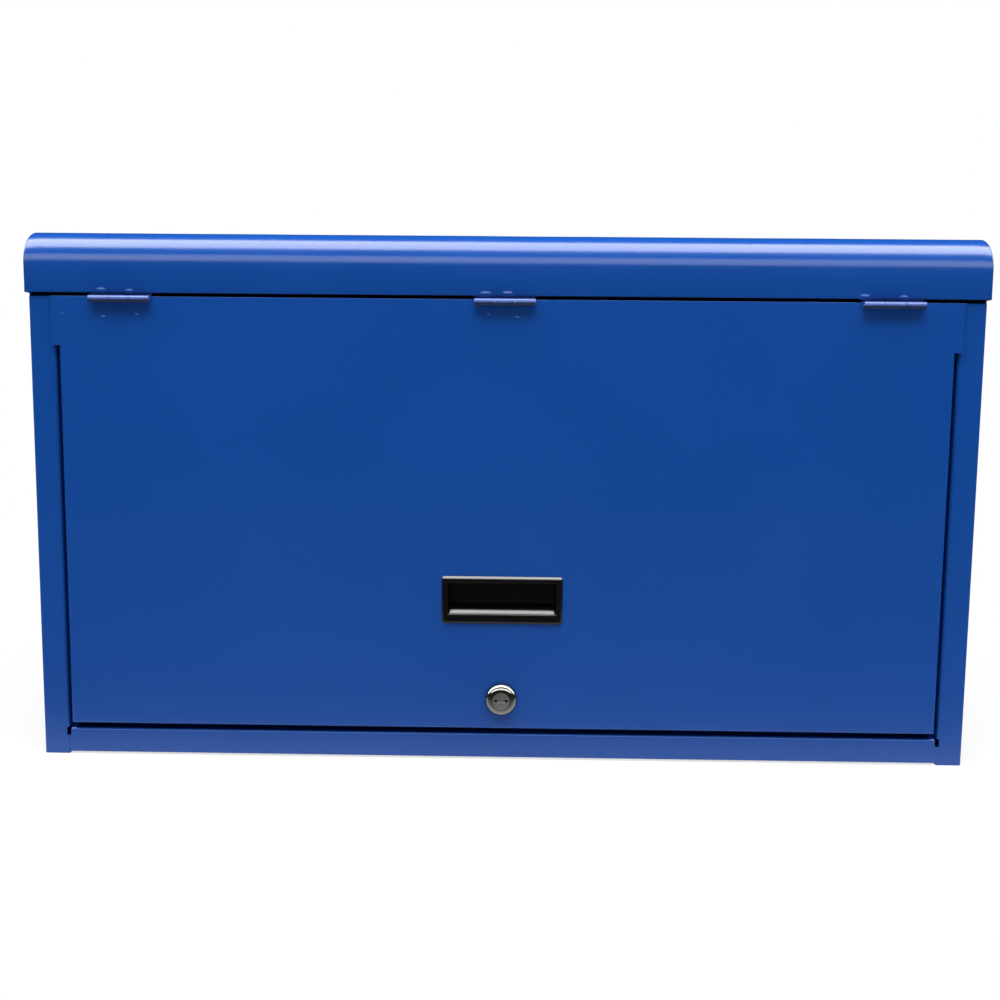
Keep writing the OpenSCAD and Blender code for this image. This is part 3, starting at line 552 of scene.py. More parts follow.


# Hinge barrels: how far the paint is worn paler in front towards bare metal, which is also a painted sheen,
# how much painted shade darkens and dulls it below, how far under the axis the painted shade starts, and how
# fast both come in, per metre
WEAR_AND_SHEEN = 0.045
UNDERSIDE_SHADE = 0.7
UNDERSIDE_DULL = 0.12
SHADE_DROP = 0.0002
FRONT_RISE = 1000.0
SHADE_RISE = 1600.0


def barrel_wear_sheen_and_shade(material, worn_sheen_tint, face, edge):
    """Wears the paint of a hinge's barrel paler in front of a face, which is also a painted sheen, and
    paints shade below an edge.
    """
    tree = material.node_tree
    shader = tree.nodes["Principled BSDF"]
    where = coordinates(tree)
    front = math_node(tree, "MULTIPLY", math_node(tree, "SUBTRACT", face, where["Y"]), FRONT_RISE, True)
    below = math_node(tree, "MULTIPLY", math_node(tree, "SUBTRACT", edge, where["Z"]), SHADE_RISE, True)
    under = math_node(tree, "MULTIPLY", below, front)
    colour = shader.inputs["Base Color"].links[0].from_socket
    gloss = shader.inputs["Roughness"].links[0].from_socket
    # Paler front: worn paint and a painted sheen in one
    paler = vector_node(tree, "SUBTRACT", worn_sheen_tint, colour)
    paler = shaded(tree, paler, math_node(tree, "MULTIPLY", front, WEAR_AND_SHEEN))
    worn_sheen = vector_node(tree, "ADD", colour, paler)
    # Painted shade: the barrel's underside in front is darkened and dulled
    unshaded = math_node(tree, "SUBTRACT", 1.0, math_node(tree, "MULTIPLY", under, UNDERSIDE_SHADE))
    dull = math_node(tree, "MULTIPLY", under, UNDERSIDE_DULL)
    link(tree, shaded(tree, worn_sheen, unshaded), shader.inputs["Base Color"])
    link(tree, math_node(tree, "ADD", gloss, dull, True), shader.inputs["Roughness"])


def finish(slot):
    """Material of a slot."""
    return bpy.data.materials["chest " + slot.replace("_", " ")]


class CHEST_OT_finishes(bpy.types.Operator):
    """Makes the finishes and puts them on every CAD node by its material slot"""
    bl_idname = "chest.finishes"
    bl_label = "Finishes"

    def execute(self, context):
        c = colours()
        skin, grain = skin_group(), grain_group()
        new_finish("chest blue paint", skin, c.paint, PAINT, bump=0.22, height=0.0001)
        new_finish("chest black plastic", skin, c.plastic,
                   {"Tone": 0.3, "Roughness": 0.2, "Variation": 0.1, "Pebble Size": 1600.0},
                   bump=0.08, height=0.00005, index=1.65)
        new_finish("chest rubber", skin, c.rubber,
                   {"Tone": 0.5, "Roughness": 0.72, "Variation": 0.2, "Pebble Size": 1100.0},
                   bump=0.4, height=0.0001)
        new_finish("chest chrome", skin, c.chrome,
                   {"Tone": 0.1, "Roughness": 0.12, "Variation": 0.1, "Pebble Size": 900.0},
                   bump=0.05, height=0.00004, metallic=1.0)
        new_finish("chest zinc steel", skin, c.zinc,
                   {"Tone": 0.5, "Roughness": 0.34, "Variation": 0.2, "Pebble Size": 260.0},
                   bump=0.2, height=0.00008, metallic=1.0)
        new_finish("chest aluminium", grain, c.aluminium,
                   {"Tone": 0.25, "Roughness": 0.32, "Variation": 0.2},
                   bump=0.2, height=0.00005, mapping=(6.0, 2500.0, 2500.0), metallic=1.0)
        for part in frame["record"]["subparts"]:
            node = NODES[part["node"]]
            node.data.materials.clear()
            node.data.materials.append(finish(part["material_slot"]))
        # Front hinge barrels get a paler front, as wear and painted sheen, and painted shade under the axis
        hinge = new_finish("chest hinge paint", skin, c.paint, HINGE_PAINT, bump=0.22, height=0.0001)
        low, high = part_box("front_hinge_pins")
        barrel_wear_sheen_and_shade(hinge, c.zinc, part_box("lid_skin")[0].y, (low.z + high.z) / 2 - SHADE_DROP)
        for name in ("front_hinge_lid_leaves", "front_hinge_panel_leaves"):
            NODES[name].data.materials[0] = hinge
        return {"FINISHED"}


# Pieces

# Cells round a bend of the panel, and the slit between its side flanges and its ears
FOLD_STEPS = 9
SLIT = 0.0003
# Waves of the lid: share of the height, radians per metre across and down the sheet, and start
LID_WAVES = ((1.0, 47, 9, 0.0), (0.6, 83, -21, 1.3), (0.4, 19, 0, 0.7))
# Widths along which the waves of the lid and the dents of the panel fade in
WAVE_FADE = 0.01
DENT_FADE = 0.03


def hinge_middles():
    """Places across the chest of the three front hinges."""
    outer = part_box("front_hinge_pins")[1].x - sizes().hinge_length / 2
    return (-outer, 0.0, outer)


def notches():
    """Both ends of each notch in the panel's top edge, a little wider than the hinge."""
    half = sizes().hinge_length / 2 + SLIT
    return [(x - half, x + half) for x in hinge_middles()]


class CHEST_OT_lid(bpy.types.Operator):
    """Lid sheet with its rolled front edge, and slight waves along its length"""
    bl_idname = "chest.lid"
    bl_label = "Lid"

    def execute(self, context):
        s = sizes()
        low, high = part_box("lid_skin")
        t = s.lid_sheet / 2
        front, back, top = low.y + t, high.y - t, high.z - t
        corners = [(front, low.z), (front, top), (back, top), (back, low.z)]
        line = finer(fold(corners, (s.roll_radius - t, s.back_radius - t), steps=24), longest=0.02)

        def wave(x, way):
            """Sum of sines along the lid that fades in from the skirt's lower edge, never outwards."""
            along = sum(share * np.sin(a * x + b * way + begin) for share, a, b, begin in LID_WAVES)
            return s.sheet_wave * (along / 4 + 0.5) * np.clip(way / WAVE_FADE, 0, 1)

        shell = folded(line, s.lid_sheet, low.x, high.x, "x", ends="outer", stations=90, wave=wave)
        mesh_piece("lid_sheet", [shell], "lid", "blue_paint", ("lid_skin",), smooth=40)
        return {"FINISHED"}


# CAD pieces that stay: share of the usual rounding, segments and least angle of an edge, and their nodes
ROUNDED = (
    (1.0, 2, 35, ("left_side", "right_side", "back_panel", "base_pan", "front_sill", "left_runner_panel",
                  "right_runner_panel", "lid_left_end", "lid_right_end", "stay_brackets", "left_lid_stay",
                  "right_lid_stay", "lock_cam", "lock_nut", "cam_screw")),
    (1.6, 2, 35, ("left_handle_plate", "right_handle_plate")),
    (2.4, 4, 35, ("handle_rivets", "stay_studs", "stay_rivets")),
    (0.8, 2, 40, ("lock_plug",)),
)


class CHEST_OT_edges(bpy.types.Operator):
    """Rounds the edges of the CAD pieces that stay"""
    bl_idname = "chest.edges"
    bl_label = "Edges"

    def execute(self, context):
        for share, segments, angle, names in ROUNDED:
            for name in names:
                soften(NODES[name], share * sizes().edge_round, segments, angle)
        return {"FINISHED"}


# How far the panel's cut-out stands inside the pull's rim, at its foot and on its other sides
CUT_FOOT = 0.0038
CUT_SIDE = 0.0026
# Grid lines across the panel's face, and up it below, beside and above the cut-out and in its head
LINES_ACROSS = 91
LINES_UP = (12, 5, 24, 5)


class CHEST_OT_front_panel(bpy.types.Operator):
    """Front panel folded from one sheet, with its ears, its hinge notches and the cut-out for the pull"""
    bl_idname = "chest.front_panel"
    bl_label = "Front panel"

    def execute(self, context):
        s = sizes()
        pull_low, pull_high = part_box("pull_handle")
        hole = (pull_high.x - CUT_SIDE, pull_low.z + CUT_FOOT, pull_high.z - CUT_SIDE)
        x, z, slit = self.lines(hole, 0.0)[:3]
        keep = np.ones((len(z) - 1, len(x) - 1), bool)
        middle_x = (x[1:] + x[:-1]) / 2
        middle_z = (z[1:] + z[:-1]) / 2
        keep &= ~np.outer((middle_z > hole[1]) & (middle_z < hole[2]), np.abs(middle_x) < hole[0])
        for start, end in notches():
            keep[-1, (middle_x > start) & (middle_x < end)] = False
        keep[slit, :FOLD_STEPS] = False
        keep[slit, -FOLD_STEPS:] = False
        # The foot's flange doesn't meet the side flanges
        keep[0, [0, -1]] = False
        shell = grid_sheet(self.grid(hole, 0.0), self.grid(hole, s.sheet), keep)
        piece = mesh_piece("panel_sheet", [shell], "front_panel", "blue_paint",
                           ("front_panel", "panel_head"), smooth=35)
        soften(piece, s.edge_round, segments=2, angle=50)
        return {"FINISHED"}

    def lines(self, hole, inset):
        """Grid lines across and up the panel, set in by the sheet's thickness for its back.

        Across: flange, bend, face, bend, flange. Up: foot flange, bend, face, a slit, and the notched head.
        """
        s = sizes()
        low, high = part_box("front_panel")
        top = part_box("panel_head")[1].z
        r = s.bend_radius
        depth = high.y - low.y
        bend = (r - inset,), FOLD_STEPS - 1
        edge = fold([(low.x + inset, depth), (low.x + inset, inset), (0, inset)], *bend)[:-1]
        marks = np.ravel([(-hole[0], hole[0]), *notches()])
        flat = np.union1d(np.linspace(low.x + r, high.x - r, LINES_ACROSS), marks)[1:-1]
        across = np.vstack([edge, np.column_stack([flat, np.full(len(flat), inset)]), edge[::-1] * (-1, 1)])
        foot = fold([(depth, low.z + inset), (inset, low.z + inset), (inset, high.z)], *bend)[:-1]
        levels = (low.z + r, hole[1], hole[2], high.z)
        face = np.concatenate([np.linspace(a, b, n)[1:] for a, b, n in zip(levels, levels[1:], LINES_UP)])
        head = np.append(np.linspace(high.z + SLIT, top - s.hinge_notch, LINES_UP[-1]), top)
        rise = np.concatenate([foot[:, 1], face, head])
        forward = np.concatenate([foot[:, 0], np.full(len(face) + len(head), inset)])
        return across[:, 0], rise, len(foot) + len(face) - 1, across[:, 1], forward

    def grid(self, hole, inset):
        """Points of the front, or of the back for an inset: as far back as either fold asks for.

        The face is dented by a sum of sines, never outwards.
        """
        low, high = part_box("front_panel")
        x, z, slit, back_x, back_z = self.lines(hole, inset)
        n = FOLD_STEPS + 1
        y = np.maximum(back_x[None, :], back_z[:, None])
        x = np.broadcast_to(x, y.shape).copy()
        z = np.broadcast_to(z[:, None], y.shape)
        ear = np.linspace(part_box("panel_head")[0].x, low.x + sizes().bend_radius, n)
        x[slit + 1:, :n] = ear
        x[slit + 1:, -n:] = -ear[::-1]
        y[slit + 1:] = inset
        dent = np.sin(9 * x + 4 * z) * np.sin(13 * z + 1) + 0.5 * np.sin(31 * x - 17 * z + 2)
        fade = np.clip((high.x - np.abs(x)) / DENT_FADE, 0, 1) * np.clip((z - low.z) / DENT_FADE, 0, 1)
        y = y + fade * sizes().sheet_wave * (dent / 3 + 0.5)
        return np.stack([x, low.y + y, z], axis=-1)


# Welds: hinge from the left, way across from its middle, way up from its axis, and radius
SKIRT_WELDS = (
    (0, -0.0134, 0.0064, 0.0048), (0, 0.0063, 0.0058, 0.0040),
    (1, -0.0133, 0.0058, 0.0056), (1, 0.0018, 0.0060, 0.0053),
    (2, -0.0195, 0.0060, 0.0052), (2, 0.0070, 0.0058, 0.0042),
)
PANEL_WELDS = (
    (0, -0.0121, -0.0120, 0.0026), (0, 0.0109, -0.0103, 0.0022), (0, -0.0405, -0.0100, 0.0018),
    (1, -0.0115, -0.0083, 0.0018), (1, 0.0085, -0.0100, 0.0024),
    (2, 0.0300, -0.0015, 0.0014),
)
# A nugget's rise as a share of its radius, its height as a share of its width, and the share of its
# rise by which its rim is sunk
NUGGET_RISE = 0.07
NUGGET_FLAT = 0.42
NUGGET_SINK = 0.15


class CHEST_OT_welds(bpy.types.Operator):
    """Weld nuggets beside the front hinges, under the paint"""
    bl_idname = "chest.welds"
    bl_label = "Welds"

    def execute(self, context):
        low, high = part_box("front_hinge_pins")
        axis = (low.z + high.z) / 2
        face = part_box("lid_skin")[0].y
        middles = hinge_middles()
        rows = (("lid_welds", "lid", SKIRT_WELDS), ("panel_welds", "front_panel", PANEL_WELDS))
        for name, body, spots in rows:
            shells = [self.nugget(middles[hinge] + x, face, axis + z, r) for hinge, x, z, r in spots]
            mesh_piece(name, shells, body, "blue_paint", smooth=80)
        return {"FINISHED"}

    def nugget(self, x, y, z, radius):
        """Flat dome, wider than high, that rises as a squared cosine, with its rim sunk in the sheet."""
        h = NUGGET_RISE * radius
        t = np.linspace(0, 1, 9)
        rise = (1 + NUGGET_SINK) * h * np.cos(t * np.pi / 2) ** 2
        dome = np.column_stack([t * radius, NUGGET_SINK * h - rise])
        points, faces = turned([*dome, (0.9 * radius, 2 * h), (0, 2 * h)], (0, 0, 0), "y", segments=28)
        return points * (1, 1, NUGGET_FLAT) + (x, y, z), faces


# Pull: radii of the corners of its rim, its pocket and its opening, and rounding of the opening's edge
RIM_CORNER = 0.0021
POCKET_CORNER = 0.002
MOUTH_CORNER = 0.001
MOUTH_ROUND = 0.0005
# Section of the rim's bevel: share of the rim's height, and share of the bevel's width
RIM_SLOPE = np.array([(0, 0), (0.07, 0.02), (0.13, 0.07), (0.86, 0.83), (0.95, 0.94), (1, 1.08)])
# Lip: its sheet as a share of the pocket's wall, its bend as a share of half that sheet, and its
# clearance to the opening's foot and sides
LIP_SHEET = 0.8
LIP_BEND = 1.2
LIP_FOOT = 0.0003
LIP_SIDE = 0.0005


class CHEST_OT_pull(bpy.types.Operator):
    """Flush pull with a bevelled rim, a pocket and a slanted lip"""
    bl_idname = "chest.pull"
    bl_label = "Pull"

    def execute(self, context):
        s = sizes()
        low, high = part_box("pull_handle")
        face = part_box("front_panel")[0].y
        half, foot, head = high.x - s.pull_rim, low.z + s.pull_sill, high.z - s.pull_rim

        def rim(inset):
            return rounded_loop(high.x - inset, low.z + inset, high.z - inset, RIM_CORNER - inset)

        def opening(wide, radius):
            return rounded_loop(half + wide, foot - wide, head + wide, radius)

        t = np.linspace(0, np.pi / 2, 5)
        pocket = opening(s.pull_wall, POCKET_CORNER)
        mouth = MOUTH_ROUND * (1 - np.sin(t))
        loops = [pocket, pocket, *(rim(s.pull_edge * inset) for inset in RIM_SLOPE[:, 1]),
                 *(opening(wide, MOUTH_CORNER + wide) for wide in mouth), opening(0, MOUTH_CORNER)]
        depths = [high.y, face, *(face - (face - low.y) * RIM_SLOPE[:, 0]),
                  *(low.y + MOUTH_ROUND * (1 - np.cos(t))), high.y - s.pull_wall]
        shells = [lofted(loops, depths), self.lip(low.y, foot, half)]
        mesh_piece("pull_bezel", shells, "front_panel", "black_plastic", ("pull_handle",), smooth=40)
        return {"FINISHED"}

    def lip(self, front, foot, half):
        """Strip that slants back at 45 degrees from the rim's face and turns down behind its crest."""
        s = sizes()
        t = LIP_SHEET * s.pull_wall
        h = t / 2
        slant = h * math.sqrt(0.5)
        crest = front + s.pull_lip + t
        corners = [(front + slant, foot - slant), (crest, foot - 2 * slant + crest - front),
                   (crest, foot + LIP_FOOT)]
        line = fold(corners, (LIP_BEND * h,), steps=8)
        return folded(line, t, -half + LIP_SIDE, half - LIP_SIDE, "x", ends="outer", stations=8)


# Lock: clearance round the plug, the barrel's share of the head's radius, how far the crown stands
# behind the plug's face, height of the head's straight side, and the edges at the barrel's back
PLUG_GAP = 0.00006
BARREL_SHARE = 16 / 23
CROWN_BACK = 0.0003
HEAD_SIDE = 0.0012
BORE_EDGE = 0.0002
BARREL_EDGE = 0.0003
# Face of the plug, in shares of its radius: inner and outer ends and half height of the keyway's two
# openings, and width of the slopes round the shutter that lies between them
KEY_INNER = 0.46
KEY_OUTER = 0.86
KEY_HALF = 0.2
KEY_SLOPE = 0.02
# How far the plug's rim falls back, and how deep the shutter lies
PLUG_DOME = 0.00015
SHUTTER_DEPTH = 0.0006
# Even grid lines each way on the plug's face
PLUG_LINES = 25


class CHEST_OT_lock(bpy.types.Operator):
    """Domed bezel of the lock with the barrel behind it, and the face of its plug"""
    bl_idname = "chest.lock"
    bl_label = "Lock"

    def execute(self, context):
        low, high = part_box("lock_housing")
        plug_low, plug_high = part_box("lock_plug")
        radius = (high.x - low.x) / 2
        plug = (plug_high.x - plug_low.x) / 2
        bore = plug + PLUG_GAP
        barrel = radius * BARREL_SHARE
        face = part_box("lid_skin")[0].y
        t = np.linspace(0, np.pi / 2, 13)
        crown = low.y + CROWN_BACK
        fall = (face - crown - HEAD_SIDE) * (1 - np.cos(t))
        dome = np.column_stack([bore + (radius - bore) * np.sin(t), crown + fall])
        profile = [(bore, high.y - BORE_EDGE), *dome, (radius, face), (barrel, face),
                   (barrel, high.y - BARREL_EDGE), (barrel - BARREL_EDGE, high.y)]
        centre = Vector(((low.x + high.x) / 2, 0, (low.z + high.z) / 2))
        shell = ring_turned(profile, centre, "y")
        mesh_piece("lock_bezel", [shell], "front_panel", "chrome", ("lock_housing",), smooth=35)
        shell = self.plug_face(centre, plug, low.y, plug_low.y)
        mesh_piece("plug_face", [shell], "lock_plug", "zinc_steel", smooth=50)
        return {"FINISHED"}

    def plug_face(self, centre, radius, front, back):
        """Disc in front of the plug, open at both ends of the keyway, with a shutter set back between them.

        A square grid is mapped onto the disc: x takes u sqrt(1 - v^2 / 2), and z takes v sqrt(1 - u^2 / 2).
        """
        inner = KEY_INNER - KEY_SLOPE
        height = KEY_HALF - KEY_SLOPE
        even = np.linspace(-1, 1, PLUG_LINES)
        u = np.union1d(even, [-KEY_OUTER, -KEY_INNER, -inner, inner, KEY_INNER, KEY_OUTER])
        v = np.union1d(even, [-KEY_HALF, -height, height, KEY_HALF])
        across, up = np.meshgrid(u, v)
        x = centre.x + radius * across * np.sqrt(1 - up ** 2 / 2)
        z = centre.z + radius * up * np.sqrt(1 - across ** 2 / 2)
        away = across ** 2 + up ** 2 - across ** 2 * up ** 2
        y = front + PLUG_DOME * away ** 2
        shutter = (np.abs(across) < KEY_INNER - KEY_SLOPE / 2) & (np.abs(up) < KEY_HALF - KEY_SLOPE / 2)
        y[shutter] += SHUTTER_DEPTH
        middle_u, middle_v = (u[1:] + u[:-1]) / 2, (v[1:] + v[:-1]) / 2
        ends = (np.abs(middle_u) > KEY_INNER) & (np.abs(middle_u) < KEY_OUTER)
        keep = ~np.outer(np.abs(middle_v) < KEY_HALF, ends)
        rear = np.full_like(y, back)
        return grid_sheet(np.stack([x, y, z], axis=-1), np.stack([x, rear, z], axis=-1), keep)


# Drawers: margin of the mat, how far the tray's rim lies below the front's, drop of the pull's lip,
# its two bends in sheet thicknesses, and depth of the mat's ribs
MAT_MARGIN = 0.002
TRAY_RIM_DROP = 0.006
STRIP_LIP = 0.008
STRIP_BENDS = (0.8, 1.5)
RIB_DEPTH = 0.0011


class CHEST_OT_drawers(bpy.types.Operator):
    """Folded trays, their pull strips, rails and ribbed mats"""
    bl_idname = "chest.drawers"
    bl_label = "Drawers"

    def execute(self, context):
        for number in DRAWERS:
            body = f"drawer_{number}"
            mat_low, mat_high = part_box(body + "_liner")
            side = mat_high.x + MAT_MARGIN
            pieces = (("tray", "tray", self.tray(body, side, mat_low.z), "blue_paint", 30),
                      ("pull_strip", "pull", self.pull(body), "aluminium", 30),
                      ("rails", "rails", self.rails(body, side), "zinc_steel", 30),
                      ("mat", "liner", self.mat(mat_low, mat_high), "rubber", 50))
            for name, node, shells, slot, smooth in pieces:
                mesh_piece(f"{name}_{number}", shells, body, slot, (f"{body}_{node}",), smooth)
        return {"FINISHED"}

    def tray(self, body, outside, top):
        """Floor and sides as one channel, a back wall inside it and the wider front."""
        t = sizes().drawer_sheet
        h = t / 2
        low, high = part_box(body + "_tray")
        side = outside - h
        floor = top - h
        rim = high.z - TRAY_RIM_DROP
        line = fold([(-side, rim), (-side, floor), (side, floor), (side, rim)], (t, t), steps=6)
        wall = np.array([(high.y - h, floor + h), (high.y - h, rim)])
        plate = np.array([(low.y + h, low.z), (low.y + h, high.z)])
        return [folded(finer(line, longest=0.05), t, low.y + t, high.y, "y", stations=6),
                folded(wall, t, -side + h, side - h, "x"),
                folded(finer(plate, longest=0.02), t, low.x, high.x, "x", stations=6)]

    def pull(self, body):
        """Strip along the top of the front that is folded forwards and then down as a finger lip."""
        t = sizes().pull_sheet
        h = t / 2
        low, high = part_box(body + "_pull")
        front, back, top = low.y + h, high.y - h, high.z - h
        corners = [(back, low.z), (back, top), (front, top), (front, high.z - STRIP_LIP)]
        line = fold(corners, [bend * t for bend in STRIP_BENDS], steps=8)
        return [folded(line, t, low.x, high.x, "x", stations=8)]

    def rails(self, body, web):
        """Channel on each side of the tray, open outwards."""
        low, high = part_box(body + "_rails")
        return [channel(side * high.x, side * web, low.z, high.z, low.y, high.y) for _, side in SIDES]

    def mat(self, low, high):
        """Ribbed rubber mat."""
        return [ribbed(low, high, sizes().rib_pitch, RIB_DEPTH)]


# Clearance between a drawer's rail and its runner
RUNNER_GAP = 0.0004


class CHEST_OT_runners(bpy.types.Operator):
    """Channels on the runner panels, one for each drawer"""
    bl_idname = "chest.runners"
    bl_label = "Runners"

    def execute(self, context):
        room = sizes().sheet + RUNNER_GAP
        for word, side in SIDES:
            name = word + "_runners"
            low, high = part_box(name)
            tip, web = (high.x, low.x) if side < 0 else (low.x, high.x)
            shells = []
            for number in DRAWERS:
                rail_low, rail_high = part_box(f"drawer_{number}_rails")
                shells.append(channel(tip, web, rail_low.z - room, rail_high.z + room, low.y, high.y))
            mesh_piece(word + "_channels", shells, "case", "zinc_steel", (name,))
        return {"FINISHED"}


# Till: width of its front rim, height of its other flanges, and where the side flanges end
TILL_RIM = 0.010
TILL_FLANGE = 0.015
TILL_END = 0.0148


class CHEST_OT_till(bpy.types.Operator):
    """Till under the lid, folded from one sheet, with two side flanges"""
    bl_idname = "chest.till"
    bl_label = "Till"

    def execute(self, context):
        s = sizes()
        t = s.sheet
        h = t / 2
        low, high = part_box("till_tray")
        floor = low.z + h
        flange = floor + h + TILL_FLANGE
        front, back, top = low.y + h, high.y - h, high.z - h
        corners = [(low.y + TILL_RIM, top), (front, top), (front, floor), (back, floor), (back, flange)]
        line = finer(fold(corners, (s.bend_radius - h,) * 3, steps=6), longest=0.04)
        shells = [folded(line, t, low.x, high.x, "x", stations=8)]
        for side in (low.x, high.x - t):
            wall = np.array([(side + h, floor + h), (side + h, flange)])
            shells.append(folded(wall, t, low.y + t, high.y - TILL_END, "y"))
        mesh_piece("till_sheet", shells, "case", "blue_paint", ("till_tray",))
        return {"FINISHED"}


# Floor: radius and sides of the disc, its diffuse tone, its tone in reflections beside the chest and
# far from it, which paints a pool of light into reflections, and the depth of its shade beside the chest
FLOOR_RADIUS = 12.0
FLOOR_SIDES = 96
FLOOR_TONE = 0.4
FLOOR_MIRROR = 0.3
FLOOR_FAR = 0.003
FLOOR_SHADE = 0.3
# How fast the floor's painted pool of light in reflections, its shade and its glowing strip fade out, per
# metre
MIRROR_FADE = 18.0
SHADE_FADE = 10.0
STRIP_FADE = 5.0
# Camera: place, and pitch, yaw and roll in degrees
CAMERA_PLACE = (0.0066, -0.8479, 0.2590)
CAMERA_ANGLES = (5.842, -0.722, 0.558)
SENSOR = 36.0


class CHEST_OT_stage(bpy.types.Operator):
    """Pale floor, soft lights and the camera at the photograph's place"""
    bl_idname = "chest.stage"
    bl_label = "Stage"

    def execute(self, context):
        scene = context.scene
        scene.view_settings.view_transform = "Standard"
        self.floor(scene)
        self.world(scene)
        self.lights(scene)
        self.camera(scene)
        return {"FINISHED"}

    def lights(self, scene):
        """Softbox over the lid, its line on the roll, and two lights that only shade."""
        front, back = CAD_BOX[0][1], CAD_BOX[1][1]
        self.softbox(scene, "lid_softbox", y=front - 0.19, z=1.87, tilt=0, size=(14.0, 1.05),
                     radiance=look().softbox)
        line = self.softbox(scene, "front_softbox", y=front - 3.69, z=2.42, tilt=58.5, size=(10.0, 1.5),
                            radiance=look().front_light)
        line.visible_diffuse = False
        key = self.softbox(scene, "key_light", y=front - 1.1, z=2.4, tilt=27, size=(2.4, 0.8),
                           radiance=look().key_light)
        key.visible_glossy = False
        fill = self.softbox(scene, "back_light", y=back + 2.5, z=1.2, tilt=-68, size=(2.4, 1.0),
                            radiance=look().back_light)
        fill.visible_glossy = False

    def softbox(self, scene, name, y, z, tilt, size, radiance):
        """Rectangular light over the chest's middle. Its power is its radiance times its area times pi."""
        light = bpy.data.lights.new(name, "AREA")
        light.shape = "RECTANGLE"
        light.size, light.size_y = size
        light.energy = radiance * size[0] * size[1] * math.pi
        lamp = bpy.data.objects.new(name, light)
        lamp.location = (0, y, z)
        lamp.rotation_euler = (math.radians(tilt), 0, 0)
        lamp.visible_camera = False
        scene.collection.objects.link(lamp)
        return lamp

    def floor(self, scene):
        """Disc that is white to the camera, with a faint shade by the chest.

        Its tone in reflections is a painted pool of light, darker away from the chest, as on a table in a
        dim room.
        """
        t = np.linspace(0, 2 * np.pi, FLOOR_SIDES, endpoint=False)
        rim = np.stack([FLOOR_RADIUS * np.cos(t), FLOOR_RADIUS * np.sin(t), 0 * t], axis=-1)
        mesh = bpy.data.meshes.new("floor")
        mesh.from_pydata(rim, [], [list(range(FLOOR_SIDES))])
        floor = bpy.data.objects.new("floor", mesh)
        scene.collection.objects.link(floor)
        mesh.materials.append(self.floor_finish())

    def floor_finish(self):
        """Material of the floor. Each of its fades is e to the power of minus rate times distance."""
        material = bpy.data.materials.new("pale floor")
        material.use_nodes = True
        tree = material.node_tree
        shader = tree.nodes["Principled BSDF"]
        shader.inputs["Roughness"].default_value = 0.9
        shader.inputs["Specular IOR Level"].default_value = 0.1
        shader.inputs["Emission Color"].default_value = (1, 1, 1, 1)
        where = coordinates(tree)
        across = math_node(tree, "SUBTRACT", math_node(tree, "ABSOLUTE", where["X"]), CAD_BOX[1][0])
        along = math_node(tree, "SUBTRACT", math_node(tree, "ABSOLUTE", where["Y"]), CAD_BOX[1][1])
        away = math_node(tree, "MAXIMUM", math_node(tree, "MAXIMUM", across, along), 0.0)

        def fade(rate, height):
            power = math_node(tree, "EXPONENT", math_node(tree, "MULTIPLY", away, -rate))
            return math_node(tree, "MULTIPLY", power, height)

        path = tree.nodes.new("ShaderNodeLightPath").outputs
        # Painted pool of light: glossy rays see the floor bright by the chest and dark away from it
        tone = tree.nodes.new("ShaderNodeMix")
        link(tree, path["Is Glossy Ray"], tone.inputs["Factor"])
        tone.inputs["A"].default_value = FLOOR_TONE
        link(tree, math_node(tree, "ADD", fade(MIRROR_FADE, FLOOR_MIRROR), FLOOR_FAR), tone.inputs["B"])
        link(tree, tone.outputs["Result"], shader.inputs["Base Color"])
        # The floor glows beside the chest for diffuse rays only, as a hidden lamp
        strip = math_node(tree, "MULTIPLY", fade(STRIP_FADE, look().floor_light), path["Is Diffuse Ray"])
        link(tree, strip, shader.inputs["Emission Strength"])
        white = tree.nodes.new("ShaderNodeEmission")
        lit = tree.nodes.new("ShaderNodeMixShader")
        shade = math_node(tree, "SUBTRACT", 1.0, fade(SHADE_FADE, FLOOR_SHADE))
        link(tree, math_node(tree, "MULTIPLY", shade, path["Is Camera Ray"]), lit.inputs[0])
        link(tree, shader.outputs[0], lit.inputs[1])
        link(tree, white.outputs[0], lit.inputs[2])
        link(tree, lit.outputs[0], tree.nodes["Material Output"].inputs["Surface"])
        return material

    def world(self, scene):
        """White behind the chest, and a dim room for all other light."""
        world = bpy.data.worlds.new("studio")
        scene.world = world
        world.use_nodes = True
        tree = world.node_tree
        ground = tree.nodes["Background"]
        path = tree.nodes.new("ShaderNodeLightPath")
        mix = tree.nodes.new("ShaderNodeMix")
        link(tree, path.outputs["Is Camera Ray"], mix.inputs["Factor"])
        mix.inputs["A"].default_value = look().room
        mix.inputs["B"].default_value = 1.0
        link(tree, mix.outputs["Result"], ground.inputs["Strength"])
        ground.inputs["Color"].default_value = (1, 1, 1, 1)

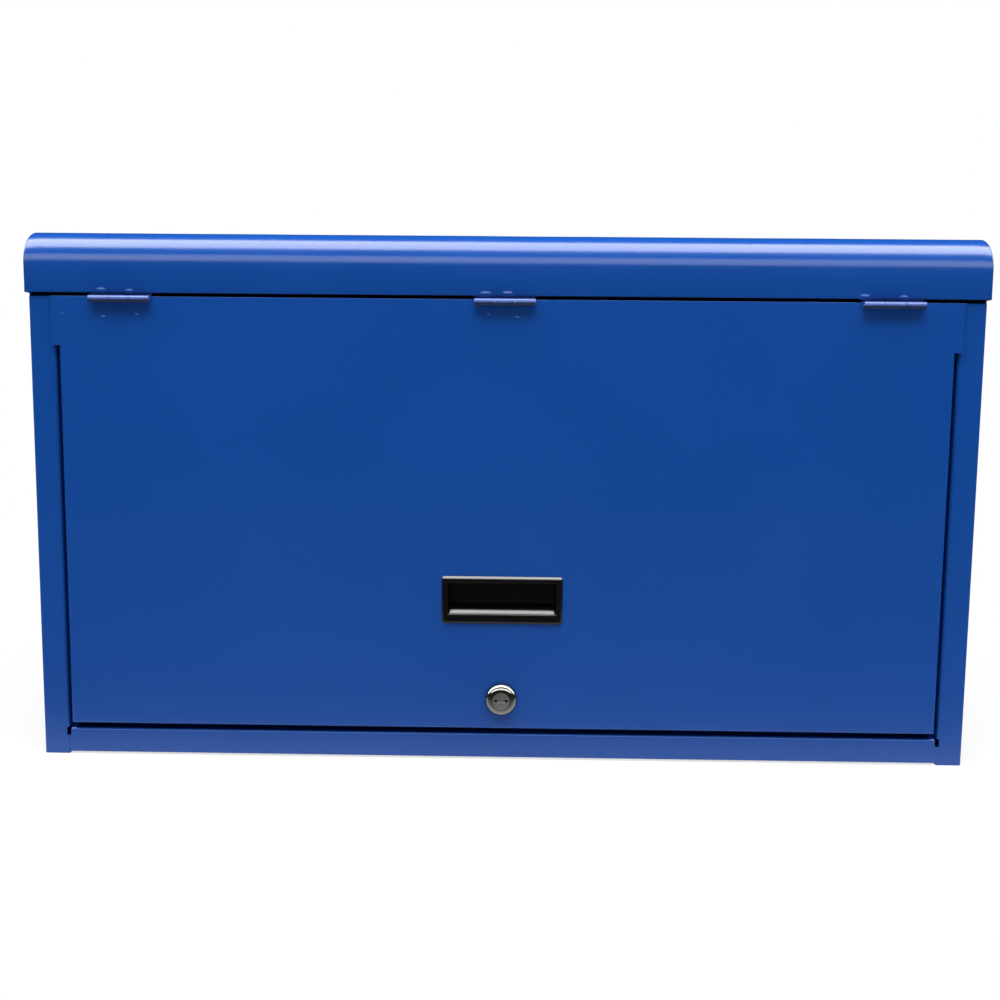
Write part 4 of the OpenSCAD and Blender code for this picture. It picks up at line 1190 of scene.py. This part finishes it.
    def camera(self, scene):
        """Camera with a level of its own: a small turn to the left, a few degrees down and a slight roll."""
        eye = bpy.data.cameras.new("camera")
        eye.sensor_width = SENSOR
        eye.lens = look().camera_lens
        camera = bpy.data.objects.new("camera", eye)
        pitch, yaw, roll = (math.radians(angle) for angle in CAMERA_ANGLES)
        level = math.cos(pitch)
        ahead = Vector((math.sin(yaw) * level, math.cos(yaw) * level, -math.sin(pitch)))
        right = Vector((math.cos(yaw), -math.sin(yaw), 0))
        up = right.cross(ahead)
        across = math.cos(roll) * right + math.sin(roll) * up
        upright = math.cos(roll) * up - math.sin(roll) * right
        turn = Matrix((across, upright, -ahead)).transposed()
        camera.matrix_world = Matrix.Translation(CAMERA_PLACE) @ turn.to_4x4()
        scene.collection.objects.link(camera)
        scene.camera = camera


class CHEST_PT_panel(bpy.types.Panel):
    """Sizes, colours and pieces of the tool chest"""
    bl_idname = "CHEST_PT_panel"
    bl_label = "Tool chest"
    bl_space_type = "VIEW_3D"
    bl_region_type = "UI"
    bl_category = "Tool chest"

    def draw(self, context):
        for group in (sizes(), colours(), look()):
            box = self.layout.box()
            for name in type(group).__annotations__:
                box.prop(group, name)
        for operator in OPERATORS:
            self.layout.operator(operator.bl_idname)


OPERATORS = (CHEST_OT_finishes, CHEST_OT_edges, CHEST_OT_lid, CHEST_OT_front_panel, CHEST_OT_welds,
             CHEST_OT_pull, CHEST_OT_lock, CHEST_OT_drawers, CHEST_OT_runners, CHEST_OT_till, CHEST_OT_stage)
CLASSES = (ChestSizes, ChestColours, StageLook, *OPERATORS, CHEST_PT_panel)


def register():
    for cls in CLASSES:
        bpy.utils.register_class(cls)
    bpy.types.Scene.chest_sizes = PointerProperty(type=ChestSizes)
    bpy.types.Scene.chest_colours = PointerProperty(type=ChestColours)
    bpy.types.Scene.chest_stage = PointerProperty(type=StageLook)


def unregister():
    del bpy.types.Scene.chest_stage
    del bpy.types.Scene.chest_colours
    del bpy.types.Scene.chest_sizes
    for cls in reversed(CLASSES):
        bpy.utils.unregister_class(cls)


def main():
    register()
    bpy.ops.chest.finishes()
    bpy.ops.chest.edges()
    bpy.ops.chest.lid()
    bpy.ops.chest.front_panel()
    bpy.ops.chest.welds()
    bpy.ops.chest.pull()
    bpy.ops.chest.lock()
    bpy.ops.chest.drawers()
    bpy.ops.chest.runners()
    bpy.ops.chest.till()
    bpy.ops.chest.stage()


if __name__ == "__main__":
    main()
